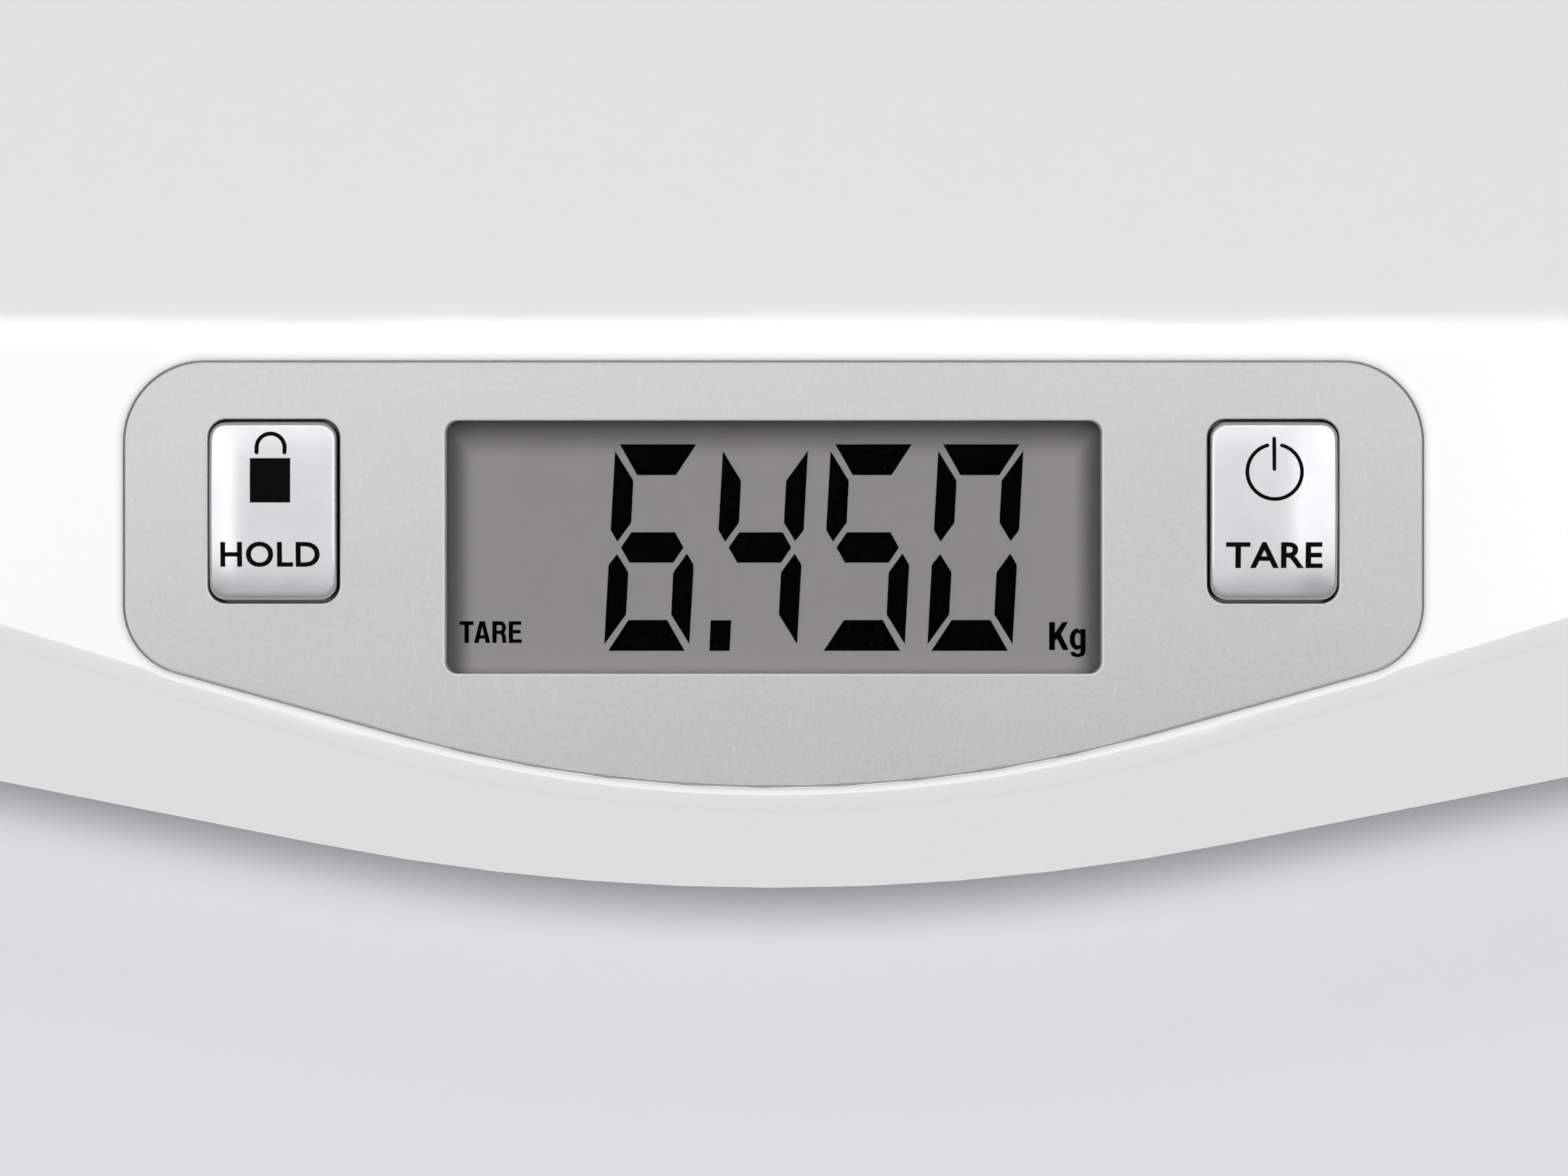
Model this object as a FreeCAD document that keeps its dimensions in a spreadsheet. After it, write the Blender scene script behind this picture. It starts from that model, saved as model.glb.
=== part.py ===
import FreeCAD, Part
import math
import os
import re
import types

import Sketcher

# A baby scale: one white moulded tray with a console in its front apron, on a bottom cover with four
# load cell feet. Millimetres and degrees. The front is -Y, +Z is up, and the origin is on the floor
# under the middle of the body.

Vector = FreeCAD.Vector
Rotation = FreeCAD.Rotation

sizes = {
    # Outline of the body at its parting line
    "bodyLength": 560.0,
    "bodyDepth": 330.0,
    "partingHeight": 18.0,
    "bowRadius": 285.0,
    "flankAngle": 11.3,
    "frontCornerRadius": 75.0,
    "rearCornerRadius": 60.0,
    # Draft of the sides, from the parting line to the hull's top
    "hullTop": 100.0,
    "sideInset": 20.0,
    "lipAngle": 42.0,
    "rimRadius": 6.0,
    "wall": 2.8,
    # Front console and tray surface
    "consoleSlope": 16.0,
    "consoleDrop": 5.3,
    "displaySetback": 38.3,
    "ridgeOffset": 27.0,
    "ridgeStep": 2.0,
    "trayDip": 2.2,
    "dipLength": 100.0,
    "endStart": 115.0,
    "endRun": 150.0,
    "endRise": 46.0,
    "rearRun": 145.0,
    "rearRise": 32.0,
    "surfaceMargin": 20.0,
    "shellRibDepth": 6.0,
    "ribWidth": 1.6,
    "shellRibSpacing": 90.0,
    # Console label in its shallow recess
    "labelWidth": 156.2,
    "labelTop": 22.4,
    "labelBottom": 28.9,
    "labelBowRadius": 166.0,
    "labelFlankAngle": 15.6,
    "labelTopRadius": 9.8,
    "labelSideRadius": 8.5,
    "labelThickness": 0.5,
    "labelRecess": 0.7,
    "labelGap": 0.15,
    # Display stack, counted down from the console surface
    "windowWidth": 79.0,
    "windowHeight": 30.5,
    "windowRadius": 1.5,
    "seatDepth": 3.2,
    "seatCover": 1.5,
    "seatMargin": 6.0,
    "lensThickness": 1.0,
    "panelWidth": 84.0,
    "panelHeight": 36.0,
    "panelThickness": 2.4,
    "fitGap": 0.2,
    "holderWall": 2.3,
    "holderDepth": 3.0,
    "frameWall": 1.6,
    "frameDepth": 3.0,
    "stripWidth": 1.8,
    "stripInset": 1.4,
    # Buttons
    "buttonOffset": 60.0,
    "buttonRise": 4.3,
    "holeWidth": 15.9,
    "holeHeight": 22.2,
    "holeRadius": 2.2,
    "buttonGap": 0.5,
    "capProud": 1.6,
    "capEdgeRadius": 0.8,
    "crownRadius": 90.0,
    "flangeWidth": 1.2,
    "flangeThickness": 1.2,
    "flangeGap": 0.4,
    "collarWall": 1.2,
    "collarDepth": 2.6,
    "stemRadius": 2.5,
    "buttonTravel": 0.6,
    # Circuit board and what is on it
    "boardWidth": 150.0,
    "boardFront": 21.0,
    "boardRear": 25.0,
    "boardThickness": 1.6,
    "boardBossRadius": 2.8,
    "boardBossFront": 13.0,
    "boardBossRear": 21.6,
    "keySize": 6.0,
    "keyHeight": 3.4,
    "keyCap": 0.4,
    "plungerRadius": 1.7,
    "plungerDepth": 1.5,
    "runningGap": 0.08,
    "controllerRadius": 7.0,
    "controllerHeight": 1.4,
    "converterWidth": 10.0,
    "converterDepth": 6.0,
    "converterHeight": 1.7,
    "connectorWidth": 15.0,
    "connectorDepth": 6.0,
    "connectorHeight": 5.0,
    "connectorOffset": 32.0,
    "connectorRear": 21.0,
    # Bottom cover, with its screws set back from the body's ends, front and rear
    "baseHeight": 8.0,
    "baseInset": 22.0,
    "coverReveal": 0.8,
    "coverWall": 2.5,
    "coverRibHeight": 3.0,
    "coverRibOffset": 120.0,
    "pillarRadius": 4.5,
    "pillarHoleRadius": 1.7,
    "pillarSeat": 4.0,
    "headGap": 0.6,
    "bossRadius": 4.0,
    "bossDepth": 15.0,
    "screwRadius": 1.4,
    "screwHeadRadius": 3.0,
    "screwHeadHeight": 2.2,
    "screwLength": 18.0,
    "threadGap": 0.05,
    "cornerScrewSetback": 55.0,
    "frontScrewSetback": 95.0,
    "rearScrewSetback": 55.0,
    "middleScrewX": 102.0,
    "middleFrontSetback": 53.0,
    "middleRearSetback": 40.0,
    # Small screws of the board and the retainers
    "smallScrewRadius": 1.0,
    "smallHeadRadius": 2.0,
    "smallHeadHeight": 1.5,
    "smallScrewLength": 6.0,
    # Load cell feet, set back from the body's ends, front and rear
    "footEndSetback": 90.0,
    "footFrontSetback": 103.0,
    "footRearSetback": 65.0,
    "padRadius": 17.0,
    "padThickness": 2.4,
    "padEdgeRadius": 0.8,
    "footRadius": 19.0,
    "footThickness": 3.0,
    "stemOuterRadius": 9.0,
    "stemGap": 0.8,
    "cellHeight": 12.0,
    "cellSize": 34.0,
    "cellThickness": 2.2,
    "cellBand": 5.0,
    "cellSlot": 2.0,
    "housingWall": 1.8,
    "earRadius": 3.4,
    "earOffset": 22.0,
    "retainerThickness": 1.8,
    # Batteries and their bay
    "bayY": 45.0,
    "cellPitch": 14.8,
    "batteryRadius": 7.1,
    "batteryLength": 49.0,
    "nubRadius": 2.7,
    "nubHeight": 1.2,
    "batteryGap": 0.4,
    "contactThickness": 0.4,
    "contactSize": 11.0,
    "springRadius": 3.2,
    "springWire": 0.35,
    "springHeight": 6.0,
    "springTurns": 4.0,
    "latchRoom": 4.0,
    "bayWall": 1.8,
    "bayPad": 5.0,
    "bayPadHeight": 4.4,
    "bayRoof": 17.4,
    "doorThickness": 2.2,
    "doorMargin": 2.0,
    "doorGap": 0.4,
    "pinRadius": 0.9,
    "pinLength": 2.0,
    "latchWidth": 12.0,
    "latchThickness": 1.2,
    "latchHeight": 4.5,
    # Unit switch
    "switchX": 62.0,
    "switchWidth": 12.0,
    "switchDepth": 6.4,
    "switchHeight": 4.0,
    "switchSkin": 0.7,
    "knobTravel": 2.0,
    "knobGap": 0.3,
    "knobWidth": 2.4,
    "knobDepth": 1.8,
    "knobInset": 0.4,
    "sliderWidth": 4.6,
    "sliderDepth": 2.8,
    "sliderHeight": 1.4,
    "fingerWidth": 11.0,
    "fingerDepth": 7.0,
    "fingerRecess": 1.4,
    "cradleWall": 1.2,
    "cradleHeight": 2.0,
    # Leads
    "cableRadius": 1.0,
    "leadRadius": 0.7,
    "leadHoleGap": 0.4,
    "exitRun": 12.0,
    "plugRun": 8.0,
    "cableFloor": 21.0,
    "overrun": 1.0,
}

doc = FreeCAD.newDocument("BabyScale")
sheet = doc.addObject("Spreadsheet::Sheet", "sizes")
for row, (word, value) in enumerate(sizes.items(), start=1):
    sheet.set(f"A{row}", word)
    sheet.set(f"B{row}", str(value))
    sheet.setAlias(f"B{row}", word)
doc.recompute()
s = types.SimpleNamespace(**{word: float(sheet.get(word)) for word in sizes})

nodes = []


def formula(text):
    """A formula in size names, with each name pointed at its sheet cell."""
    return re.sub(r"[A-Za-z]\w*", lambda word: ("sizes." if word[0] in sizes else "") + word[0], text)


def keep(piece, label, place=None):
    """Mark a finished sub-part: its label names its file."""
    piece.Label = label
    if place is not None:
        piece.Placement = place
    nodes.append(piece)
    return piece


def tangent(angle):
    return math.tan(math.radians(angle))


def cosine(angle):
    return math.cos(math.radians(angle))


def sine(angle):
    return math.sin(math.radians(angle))


# Places worked out from the sizes

displayY = -s.bodyDepth / 2 + s.displaySetback
displayZ = s.partingHeight + s.consoleDrop + s.displaySetback * tangent(s.consoleSlope)
console = FreeCAD.Placement(Vector(0, displayY, displayZ), Rotation(Vector(1, 0, 0), s.consoleSlope))
ridgeY = displayY + s.ridgeOffset * cosine(s.consoleSlope)
ridgeZ = displayZ + s.ridgeOffset * sine(s.consoleSlope)
coverDrop = s.coverWall * math.hypot(1, (s.partingHeight - s.baseHeight) / (s.baseInset - s.coverReveal))
coverFloor = s.baseHeight + coverDrop
boardDepth = s.seatDepth + s.lensThickness + s.panelThickness + s.holderDepth
bayWidth = s.batteryLength + s.nubHeight + s.springHeight + 2 * s.contactThickness
bayDepth = 4 * s.cellPitch + s.latchRoom
batteryHeight = s.baseHeight + s.doorThickness + s.batteryGap + s.batteryRadius
doorPivotY = s.bayY + bayDepth / 2 + s.doorMargin
doorPivotZ = s.baseHeight + s.doorThickness / 2
doorLength = bayDepth + 2 * s.doorMargin
endX = s.bodyLength / 2
rearY = s.bodyDepth / 2
screwPlaces = [(x * side, y) for side in (-1, 1) for x, y in (
    (endX - s.cornerScrewSetback, s.frontScrewSetback - rearY),
    (endX - s.cornerScrewSetback, rearY - s.rearScrewSetback),
    (s.middleScrewX, s.middleFrontSetback - rearY),
    (s.middleScrewX, rearY - s.middleRearSetback),
)]
footX = endX - s.footEndSetback
footPlaces = {
    "front_left": (-footX, s.footFrontSetback - rearY),
    "front_right": (footX, s.footFrontSetback - rearY),
    "rear_left": (-footX, rearY - s.footRearSetback),
    "rear_right": (footX, rearY - s.footRearSetback),
}
boardScrewPlaces = [(x * s.buttonOffset, y) for x in (-1, 1) for y in (-s.boardBossFront, s.boardBossRear)]


# Sketches and pads


def newBody(name):
    return doc.addObject("PartDesign::Body", name)


def sketchOn(body, name, level="0", role="XY_Plane"):
    plane = next(face for face in body.Origin.OriginFeatures if face.Role == role)
    sketch = body.newObject("Sketcher::SketchObject", name)
    sketch.AttachmentSupport = [(plane, "")]
    sketch.MapMode = "FlatFace"
    sketch.setExpression("AttachmentOffset.Base.z", formula(level))
    return sketch


def bind(sketch, constraint, text):
    number = sketch.addConstraint(constraint)
    sketch.setExpression(f"Constraints[{number}]", formula(text))


def drawRectangle(sketch, width, depth, x="0", y="0"):
    """A rectangle by its size and centre, each a formula."""
    first = sketch.GeometryCount
    corners = [Vector(-1, -1, 0), Vector(1, -1, 0), Vector(1, 1, 0), Vector(-1, 1, 0)]
    for k in range(4):
        sketch.addGeometry(Part.LineSegment(corners[k], corners[(k + 1) % 4]), False)
    for k in range(4):
        sketch.addConstraint(Sketcher.Constraint("Coincident", first + k, 2, first + (k + 1) % 4, 1))
    for k in (0, 2):
        sketch.addConstraint(Sketcher.Constraint("Horizontal", first + k))
    for k in (1, 3):
        sketch.addConstraint(Sketcher.Constraint("Vertical", first + k))
    bind(sketch, Sketcher.Constraint("DistanceX", first, 1, first, 2, 2), width)
    bind(sketch, Sketcher.Constraint("DistanceY", first + 1, 1, first + 1, 2, 2), depth)
    bind(sketch, Sketcher.Constraint("DistanceX", -1, 1, first, 1, -1), f"({x}) - ({width}) / 2")
    bind(sketch, Sketcher.Constraint("DistanceY", -1, 1, first, 1, -1), f"({y}) - ({depth}) / 2")


def drawCircle(sketch, radius, x="0", y="0"):
    number = sketch.addGeometry(Part.Circle(Vector(), Vector(0, 0, 1), 1), False)
    bind(sketch, Sketcher.Constraint("Radius", number, 1), radius)
    bind(sketch, Sketcher.Constraint("DistanceX", -1, 1, number, 3, 1), x)
    bind(sketch, Sketcher.Constraint("DistanceY", -1, 1, number, 3, 1), y)


def draw(sketch, loops):
    """Each loop is a width, depth, x and y, or a radius, x and y."""
    for loop in loops:
        if len(loop) == 4:
            drawRectangle(sketch, *loop)
        else:
            drawCircle(sketch, *loop)


def pad(body, loops, base, height, role="XY_Plane", both=False):
    """Add loops of material from a base level, or to both sides of it."""
    sketch = sketchOn(body, body.Name + "Sketch", base, role)
    draw(sketch, loops)
    feature = body.newObject("PartDesign::Pad", body.Name + "Pad")
    feature.Profile = sketch
    feature.Midplane = both
    feature.setExpression("Length", formula(height))
    sketch.Visibility = False
    doc.recompute()
    return feature


def pocket(body, loops, base, height):
    """Cut loops upwards from a base level, and prove that the cut removed material."""
    before = body.Shape.Volume
    sketch = sketchOn(body, body.Name + "Sketch", base)
    draw(sketch, loops)
    feature = body.newObject("PartDesign::Pocket", body.Name + "Pocket")
    feature.Profile = sketch
    feature.Reversed = True
    feature.setExpression("Length", formula(height))
    doc.recompute()
    if body.Shape.Volume >= before:
        raise RuntimeError(f"{body.Name}: a pocket cuts nothing")
    return feature


def fillet(body, feature, wanted, radius):
    """Round the feature's edges that the test picks."""
    names = [f"Edge{k}" for k, edge in enumerate(feature.Shape.Edges, start=1) if wanted(edge)]
    rounded = body.newObject("PartDesign::Fillet", body.Name + "Fillet")
    rounded.Base = (feature, names)
    rounded.setExpression("Radius", formula(radius))
    doc.recompute()
    return rounded


def upright(edge):
    first, last = edge.Vertexes[0].Point, edge.Vertexes[-1].Point
    return math.hypot(first.x - last.x, first.y - last.y) < abs(first.z - last.z) / 100


def edgeAt(height):
    """A test for edges that lie at one height."""
    def atHeight(edge):
        away = max(abs(edge.BoundBox.ZMin - height), abs(edge.BoundBox.ZMax - height))
        return away < s.fitGap / 10
    return atHeight


def plate(label, loops, base, height, place):
    """One padded sketch as a whole sub-part."""
    body = newBody(label)
    pad(body, loops, base, height)
    return keep(body, label, place)


def rod(name, radius, height, spot):
    """A cylinder standing on a spot, all in formulas."""
    piece = doc.addObject("Part::Cylinder", name)
    piece.setExpression("Radius", formula(radius))
    piece.setExpression("Height", formula(height))
    for axis, text in zip("xyz", spot):
        piece.setExpression("Placement.Base." + axis, formula(text))
    return piece


# Shapes of the two shells


def roundedWire(points, radii, height):
    """A closed wire through corner points, with an arc at each."""
    corners = [Vector(x, y, height) for x, y in points]
    arcs = []
    for k, corner in enumerate(corners):
        back = (corners[k - 1] - corner).normalize()
        ahead = (corners[(k + 1) % len(corners)] - corner).normalize()
        half = back.getAngle(ahead) / 2
        reach = radii[k] / math.tan(half)
        inward = (back + ahead).normalize()
        middle = corner + inward * (radii[k] / math.sin(half) - radii[k])
        arcs.append((corner + back * reach, middle, corner + ahead * reach))
    edges = []
    for k, arc in enumerate(arcs):
        edges.append(Part.Arc(*arc).toShape())
        edges.append(Part.LineSegment(arc[2], arcs[(k + 1) % len(arcs)][0]).toShape())
    return Part.Wire(edges)


def bowedOutline(halfWidth, front, rear, flank, radii, height):
    """A straight-sided outline with a bowed front edge that reaches the front line."""
    apex = front - radii[0] * (1 / cosine(flank) - 1)
    shoulder = apex + halfWidth * tangent(flank)
    right = [(halfWidth, shoulder), (halfWidth, rear)]
    points = [(0, apex), *right, (-halfWidth, rear), (-halfWidth, shoulder)]
    return roundedWire(points, radii, height)


def bodyOutline(frontInset, sideInset, height):
    """The body's plan outline, drawn in from the parting line."""
    frontCorner = s.frontCornerRadius - sideInset
    rearCorner = s.rearCornerRadius - sideInset
    radii = [s.bowRadius - frontInset, frontCorner, rearCorner, rearCorner, frontCorner]
    front = -s.bodyDepth / 2 + frontInset
    rear = s.bodyDepth / 2 - sideInset
    return bowedOutline(s.bodyLength / 2 - sideInset, front, rear, s.flankAngle, radii, height)


def hull(inset):
    """The body's sides as one drafted block, drawn in by a wall."""
    ramp = (s.hullTop - s.partingHeight) / tangent(s.lipAngle)
    lip = inset / sine(s.lipAngle)
    low = bodyOutline(lip, inset, s.partingHeight)
    high = bodyOutline(ramp + lip, s.sideInset + inset, s.hullTop)
    return Part.makeLoft([low, high], True, True)


def profileHeight(y):
    """Height of the middle section: console slope, ridge, then a shallow dip."""
    if y < ridgeY:
        return ridgeZ + (y - ridgeY) * tangent(s.consoleSlope)
    along = min(1, (y - ridgeY) / s.dipLength)
    return ridgeZ - s.trayDip * (1 - (1 - along) ** 2)


def trayHeight(x, y):
    """Height of the whole upper surface, with ends and rear rising out of the flat middle."""
    endRise = s.endRise * (max(0, abs(x) - s.endStart) / s.endRun) ** 2
    rearRise = s.rearRise * (max(0, y) / s.rearRun) ** 2
    return profileHeight(y) + (endRise ** 4 + rearRise ** 4) ** 0.25


def spread(first, last, count):
    return [first + (last - first) * k / (count - 1) for k in range(count)]


def underSurface(drop):
    """Everything below the upper surface, lowered by a drop."""
    acrossCount = 31
    behindCount = 13
    tighterShares = [-3.5, -1.75, -0.75, 0.75, 1.75, 3.5, 7.0, 13.0]
    edgeX = s.bodyLength / 2 + s.surfaceMargin
    edgeY = s.bodyDepth / 2 + s.surfaceMargin
    ys = spread(-edgeY - s.surfaceMargin, ridgeY - 6 * s.ridgeStep, 5)
    ys += [ridgeY + share * s.ridgeStep for share in tighterShares]
    ys += spread(ridgeY + 20 * s.ridgeStep, edgeY + s.surfaceMargin, behindCount)
    xs = spread(-edgeX, edgeX, acrossCount)
    poles = [[Vector(x, y, trayHeight(x, y) - drop) for y in ys] for x in xs]

    def knots(count):
        return [4] + [1] * (count - 4) + [4], list(range(count - 2))

    acrossTimes, acrossKnots = knots(len(xs))
    alongTimes, alongKnots = knots(len(ys))
    surface = Part.BSplineSurface()
    times = (acrossTimes, alongTimes)
    surface.buildFromPolesMultsKnots(poles, *times, acrossKnots, alongKnots, False, False, 3, 3)
    return surface.toShape().extrude(Vector(0, 0, -s.hullTop - s.bodyDepth / 2))


def block(width, depth, height, x, y, base):
    """A box centred on x and y."""
    return Part.makeBox(width, depth, height, Vector(x - width / 2, y - depth / 2, base))


def roundedBlock(width, depth, height, radius, x, y, base):
    shape = block(width, depth, height, x, y, base)
    return shape.makeFillet(radius, [edge for edge in shape.Edges if upright(edge)])


def atConsole(shapes):
    """Shapes given in the console's own frame, moved to the body."""
    moved = []
    for shape in shapes:
        copy = shape.copy()
        copy.Placement = console.multiply(copy.Placement)
        moved.append(copy)
    return moved


def labelBlock(gap, thickness, base):
    """The label's outline as a solid, with its bowed lower edge."""
    side = s.labelSideRadius - gap
    top = s.labelTopRadius - gap
    radii = [s.labelBowRadius - gap, side, top, top, side]
    bottom = -s.labelBottom + gap
    wire = bowedOutline(s.labelWidth / 2 - gap, bottom, s.labelTop - gap, s.labelFlankAngle, radii, base)
    return Part.Face(wire).extrude(Vector(0, 0, thickness))


def buttonHole(x, height, base):
    return roundedBlock(s.holeWidth, s.holeHeight, height, s.holeRadius, x, s.buttonRise, base)


def windowBlock(height, base):
    return roundedBlock(s.windowWidth, s.windowHeight, height, s.windowRadius, 0, 0, base)


def bored(x, y, radius, height, base):
    return Part.makeCylinder(radius, height, Vector(x, y, base))


def shellFrames():
    """Ribs and pads under the console, in the console's frame, and what is cut out of them."""
    frameWidth = s.panelWidth + 2 * (s.holderWall + s.fitGap + s.frameWall)
    frameHeight = s.panelHeight + 2 * (s.holderWall + s.fitGap + s.frameWall)
    seatWidth = 2 * (s.buttonOffset + s.holeWidth / 2 + s.seatMargin)
    seatHeight = s.windowHeight + 2 * s.seatMargin
    seatBase = -s.seatDepth
    frameBase = seatBase - s.frameDepth
    cover = s.seatDepth - s.seatCover
    added = [block(seatWidth, seatHeight, cover, 0, 0, seatBase)]
    added.append(block(frameWidth, frameHeight, s.frameDepth + cover, 0, 0, frameBase))
    innerWidth = frameWidth - 2 * s.frameWall
    innerHeight = frameHeight - 2 * s.frameWall
    removed = [block(innerWidth, innerHeight, s.frameDepth, 0, 0, frameBase)]
    collarWidth = s.holeWidth + 2 * (s.flangeWidth + s.flangeGap)
    collarHeight = s.holeHeight + 2 * (s.flangeWidth + s.flangeGap)
    collarBase = seatBase - s.collarDepth
    for x in (-s.buttonOffset, s.buttonOffset):
        outerWidth = collarWidth + 2 * s.collarWall
        outerHeight = collarHeight + 2 * s.collarWall
        added.append(block(outerWidth, outerHeight, s.collarDepth + cover, x, s.buttonRise, collarBase))
        removed.append(block(collarWidth, collarHeight, s.collarDepth, x, s.buttonRise, collarBase))
    for x, y in boardScrewPlaces:
        added.append(bored(x, y, s.boardBossRadius, boardDepth - s.seatCover, -boardDepth))
        removed.append(bored(x, y, s.smallScrewRadius + s.threadGap, s.smallScrewLength, -boardDepth))
    return added, removed


def topShell():
    """Tray and console apron in one moulding, with its bosses and ribs."""
    drop = s.wall / cosine(s.consoleSlope)
    body = hull(0).common(underSurface(0)).Solids[0]
    rim = max(body.Faces, key=lambda face: face.Area * (face.CenterOfMass.z > s.partingHeight + s.wall))
    smooth = body.makeFillet(s.rimRadius, rim.OuterWire.Edges)

    # Flat-bottomed ribs hang from the tray's underside, clear of the console
    ribLength = s.bodyDepth - 2 * s.baseInset
    ribBase = ridgeZ - s.trayDip - drop - s.shellRibDepth
    firstRibY = ridgeY + s.shellRibDepth
    ribY = firstRibY + ribLength / 2
    ribXs = [k * s.shellRibSpacing for k in (-2, -1, 1, 2)]
    kept = [block(s.ribWidth, ribLength, s.hullTop, x, ribY, ribBase) for x in ribXs]
    crossLength = 4 * s.shellRibSpacing
    kept.append(block(crossLength, s.ribWidth, s.hullTop, 0, firstRibY + s.ribWidth / 2, ribBase))

    # Screw bosses reach from the parting plane up to the tray
    kept += [bored(x, y, s.bossRadius, s.hullTop, s.partingHeight) for x, y in screwPlaces]
    frames, openings = shellFrames()
    kept += atConsole(frames)
    hollow = hull(s.wall).common(underSurface(drop)).cut(kept)
    shell = smooth.cut(hollow)

    topDepth = s.seatDepth + s.overrun
    openings.append(labelBlock(0, s.labelRecess + s.overrun, -s.labelRecess))
    openings.append(windowBlock(topDepth, -s.seatDepth))
    openings += [buttonHole(x, topDepth, -s.seatDepth) for x in (-s.buttonOffset, s.buttonOffset)]
    cuts = atConsole(openings)
    cuts += [bored(x, y, s.screwRadius + s.threadGap, s.bossDepth, s.partingHeight) for x, y in screwPlaces]
    shell = shell.cut(cuts).removeSplitter()
    feature = doc.addObject("Part::Feature", "topShell")
    feature.Shape = max(shell.Solids, key=lambda solid: solid.Volume)
    return keep(feature, "top_shell")


def consoleLabel():
    """Silver film with its window and button openings."""
    base = -s.labelRecess
    sheetBlock = labelBlock(s.labelGap, s.labelThickness, base)
    holes = [windowBlock(s.labelThickness, base)]
    holes += [buttonHole(x, s.labelThickness, base) for x in (-s.buttonOffset, s.buttonOffset)]
    feature = doc.addObject("Part::Feature", "consoleLabel")
    feature.Shape = sheetBlock.cut(holes)
    return keep(feature, "console_label", console)


# Bottom cover


def footHousing(x, y):
    """A pocket for one load cell, with two screw ears and a stem hole."""
    inner = s.cellSize + 2 * s.fitGap
    outer = inner + 2 * s.housingWall
    top = s.cellHeight + s.cellThickness
    added = [block(outer, outer, top - s.baseHeight, x, y, s.baseHeight)]
    side = 1 if x > 0 else -1
    removed = [block(inner, inner, s.cellThickness + s.overrun, x, y, s.cellHeight)]
    removed.append(bored(x, y, s.stemOuterRadius + s.stemGap, s.cellHeight, 0))
    notch = 2 * s.cableRadius + 2 * s.fitGap
    removed.append(block(2 * s.housingWall, notch, notch, x - side * outer / 2, y, s.cellHeight))
    for ear in (-s.earOffset, s.earOffset):
        added.append(bored(x, y + ear, s.earRadius, top - s.baseHeight, s.baseHeight))
        depth = s.smallScrewLength - s.retainerThickness
        removed.append(bored(x, y + ear, s.smallScrewRadius + s.threadGap, depth + s.overrun, top - depth))
    return added, removed


def batteryBay():
    """The tub for the batteries, with its door recess, pivot holes and lead holes."""
    padWidth = bayWidth + 2 * (s.doorMargin + s.bayPad)
    padDepth = bayDepth + 2 * (s.doorMargin + s.bayPad)
    added = [block(padWidth, padDepth, s.bayPadHeight, 0, s.bayY, s.baseHeight)]
    tubWidth = bayWidth + 2 * s.bayWall
    tubDepth = bayDepth + 2 * s.bayWall
    added.append(block(tubWidth, tubDepth, s.bayRoof + s.bayWall, 0, s.bayY, s.baseHeight))
    removed = [block(bayWidth, bayDepth, s.bayRoof + s.overrun, 0, s.bayY, s.baseHeight - s.overrun)]
    recessWidth = bayWidth + 2 * (s.doorMargin + s.doorGap)
    recessFront = doorPivotY - doorLength - s.doorGap
    recessRear = doorPivotY + s.doorThickness / 2 + s.doorGap
    recessDepth = s.doorThickness + s.fitGap + s.overrun
    recessY = (recessFront + recessRear) / 2
    recess = block(recessWidth, recessRear - recessFront, recessDepth, 0, recessY, s.baseHeight - s.overrun)
    removed.append(recess)
    pinSpan = recessWidth + 2 * s.pinLength
    pinStart = Vector(-pinSpan / 2, doorPivotY, doorPivotZ)
    removed.append(Part.makeCylinder(s.pinRadius + s.runningGap, pinSpan, pinStart, Vector(1, 0, 0)))
    for row in (0, 3):
        start = Vector(-bayWidth / 2 - 2 * s.bayWall, batteryRow(row), batteryHeight)
        hole = Part.makeCylinder(s.leadRadius + s.leadHoleGap, 3 * s.bayWall, start, Vector(1, 0, 0))
        removed.append(hole)
    return added, removed


def switchCradle():
    """Walls that hold the unit switch, over its slot and finger recess."""
    width = s.switchWidth + 2 * s.fitGap
    depth = s.switchDepth + 2 * s.fitGap
    outerWidth = width + 2 * s.cradleWall
    outerDepth = depth + 2 * s.cradleWall
    x = -s.switchX
    added = [block(outerWidth, outerDepth, s.cradleHeight + coverDrop, x, s.bayY, s.baseHeight)]
    removed = [block(width, depth, s.cradleHeight + s.overrun, x, s.bayY, coverFloor)]
    slotWidth = s.knobWidth + s.knobTravel + 2 * s.knobGap
    slotX = x + s.knobTravel / 2
    slotDepth = s.knobDepth + 2 * s.knobGap
    removed.append(block(slotWidth, slotDepth, coverDrop + s.overrun, slotX, s.bayY, s.baseHeight))
    removed.append(block(s.fingerWidth, s.fingerDepth, s.fingerRecess, slotX, s.bayY, s.baseHeight))
    return added, removed


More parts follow.
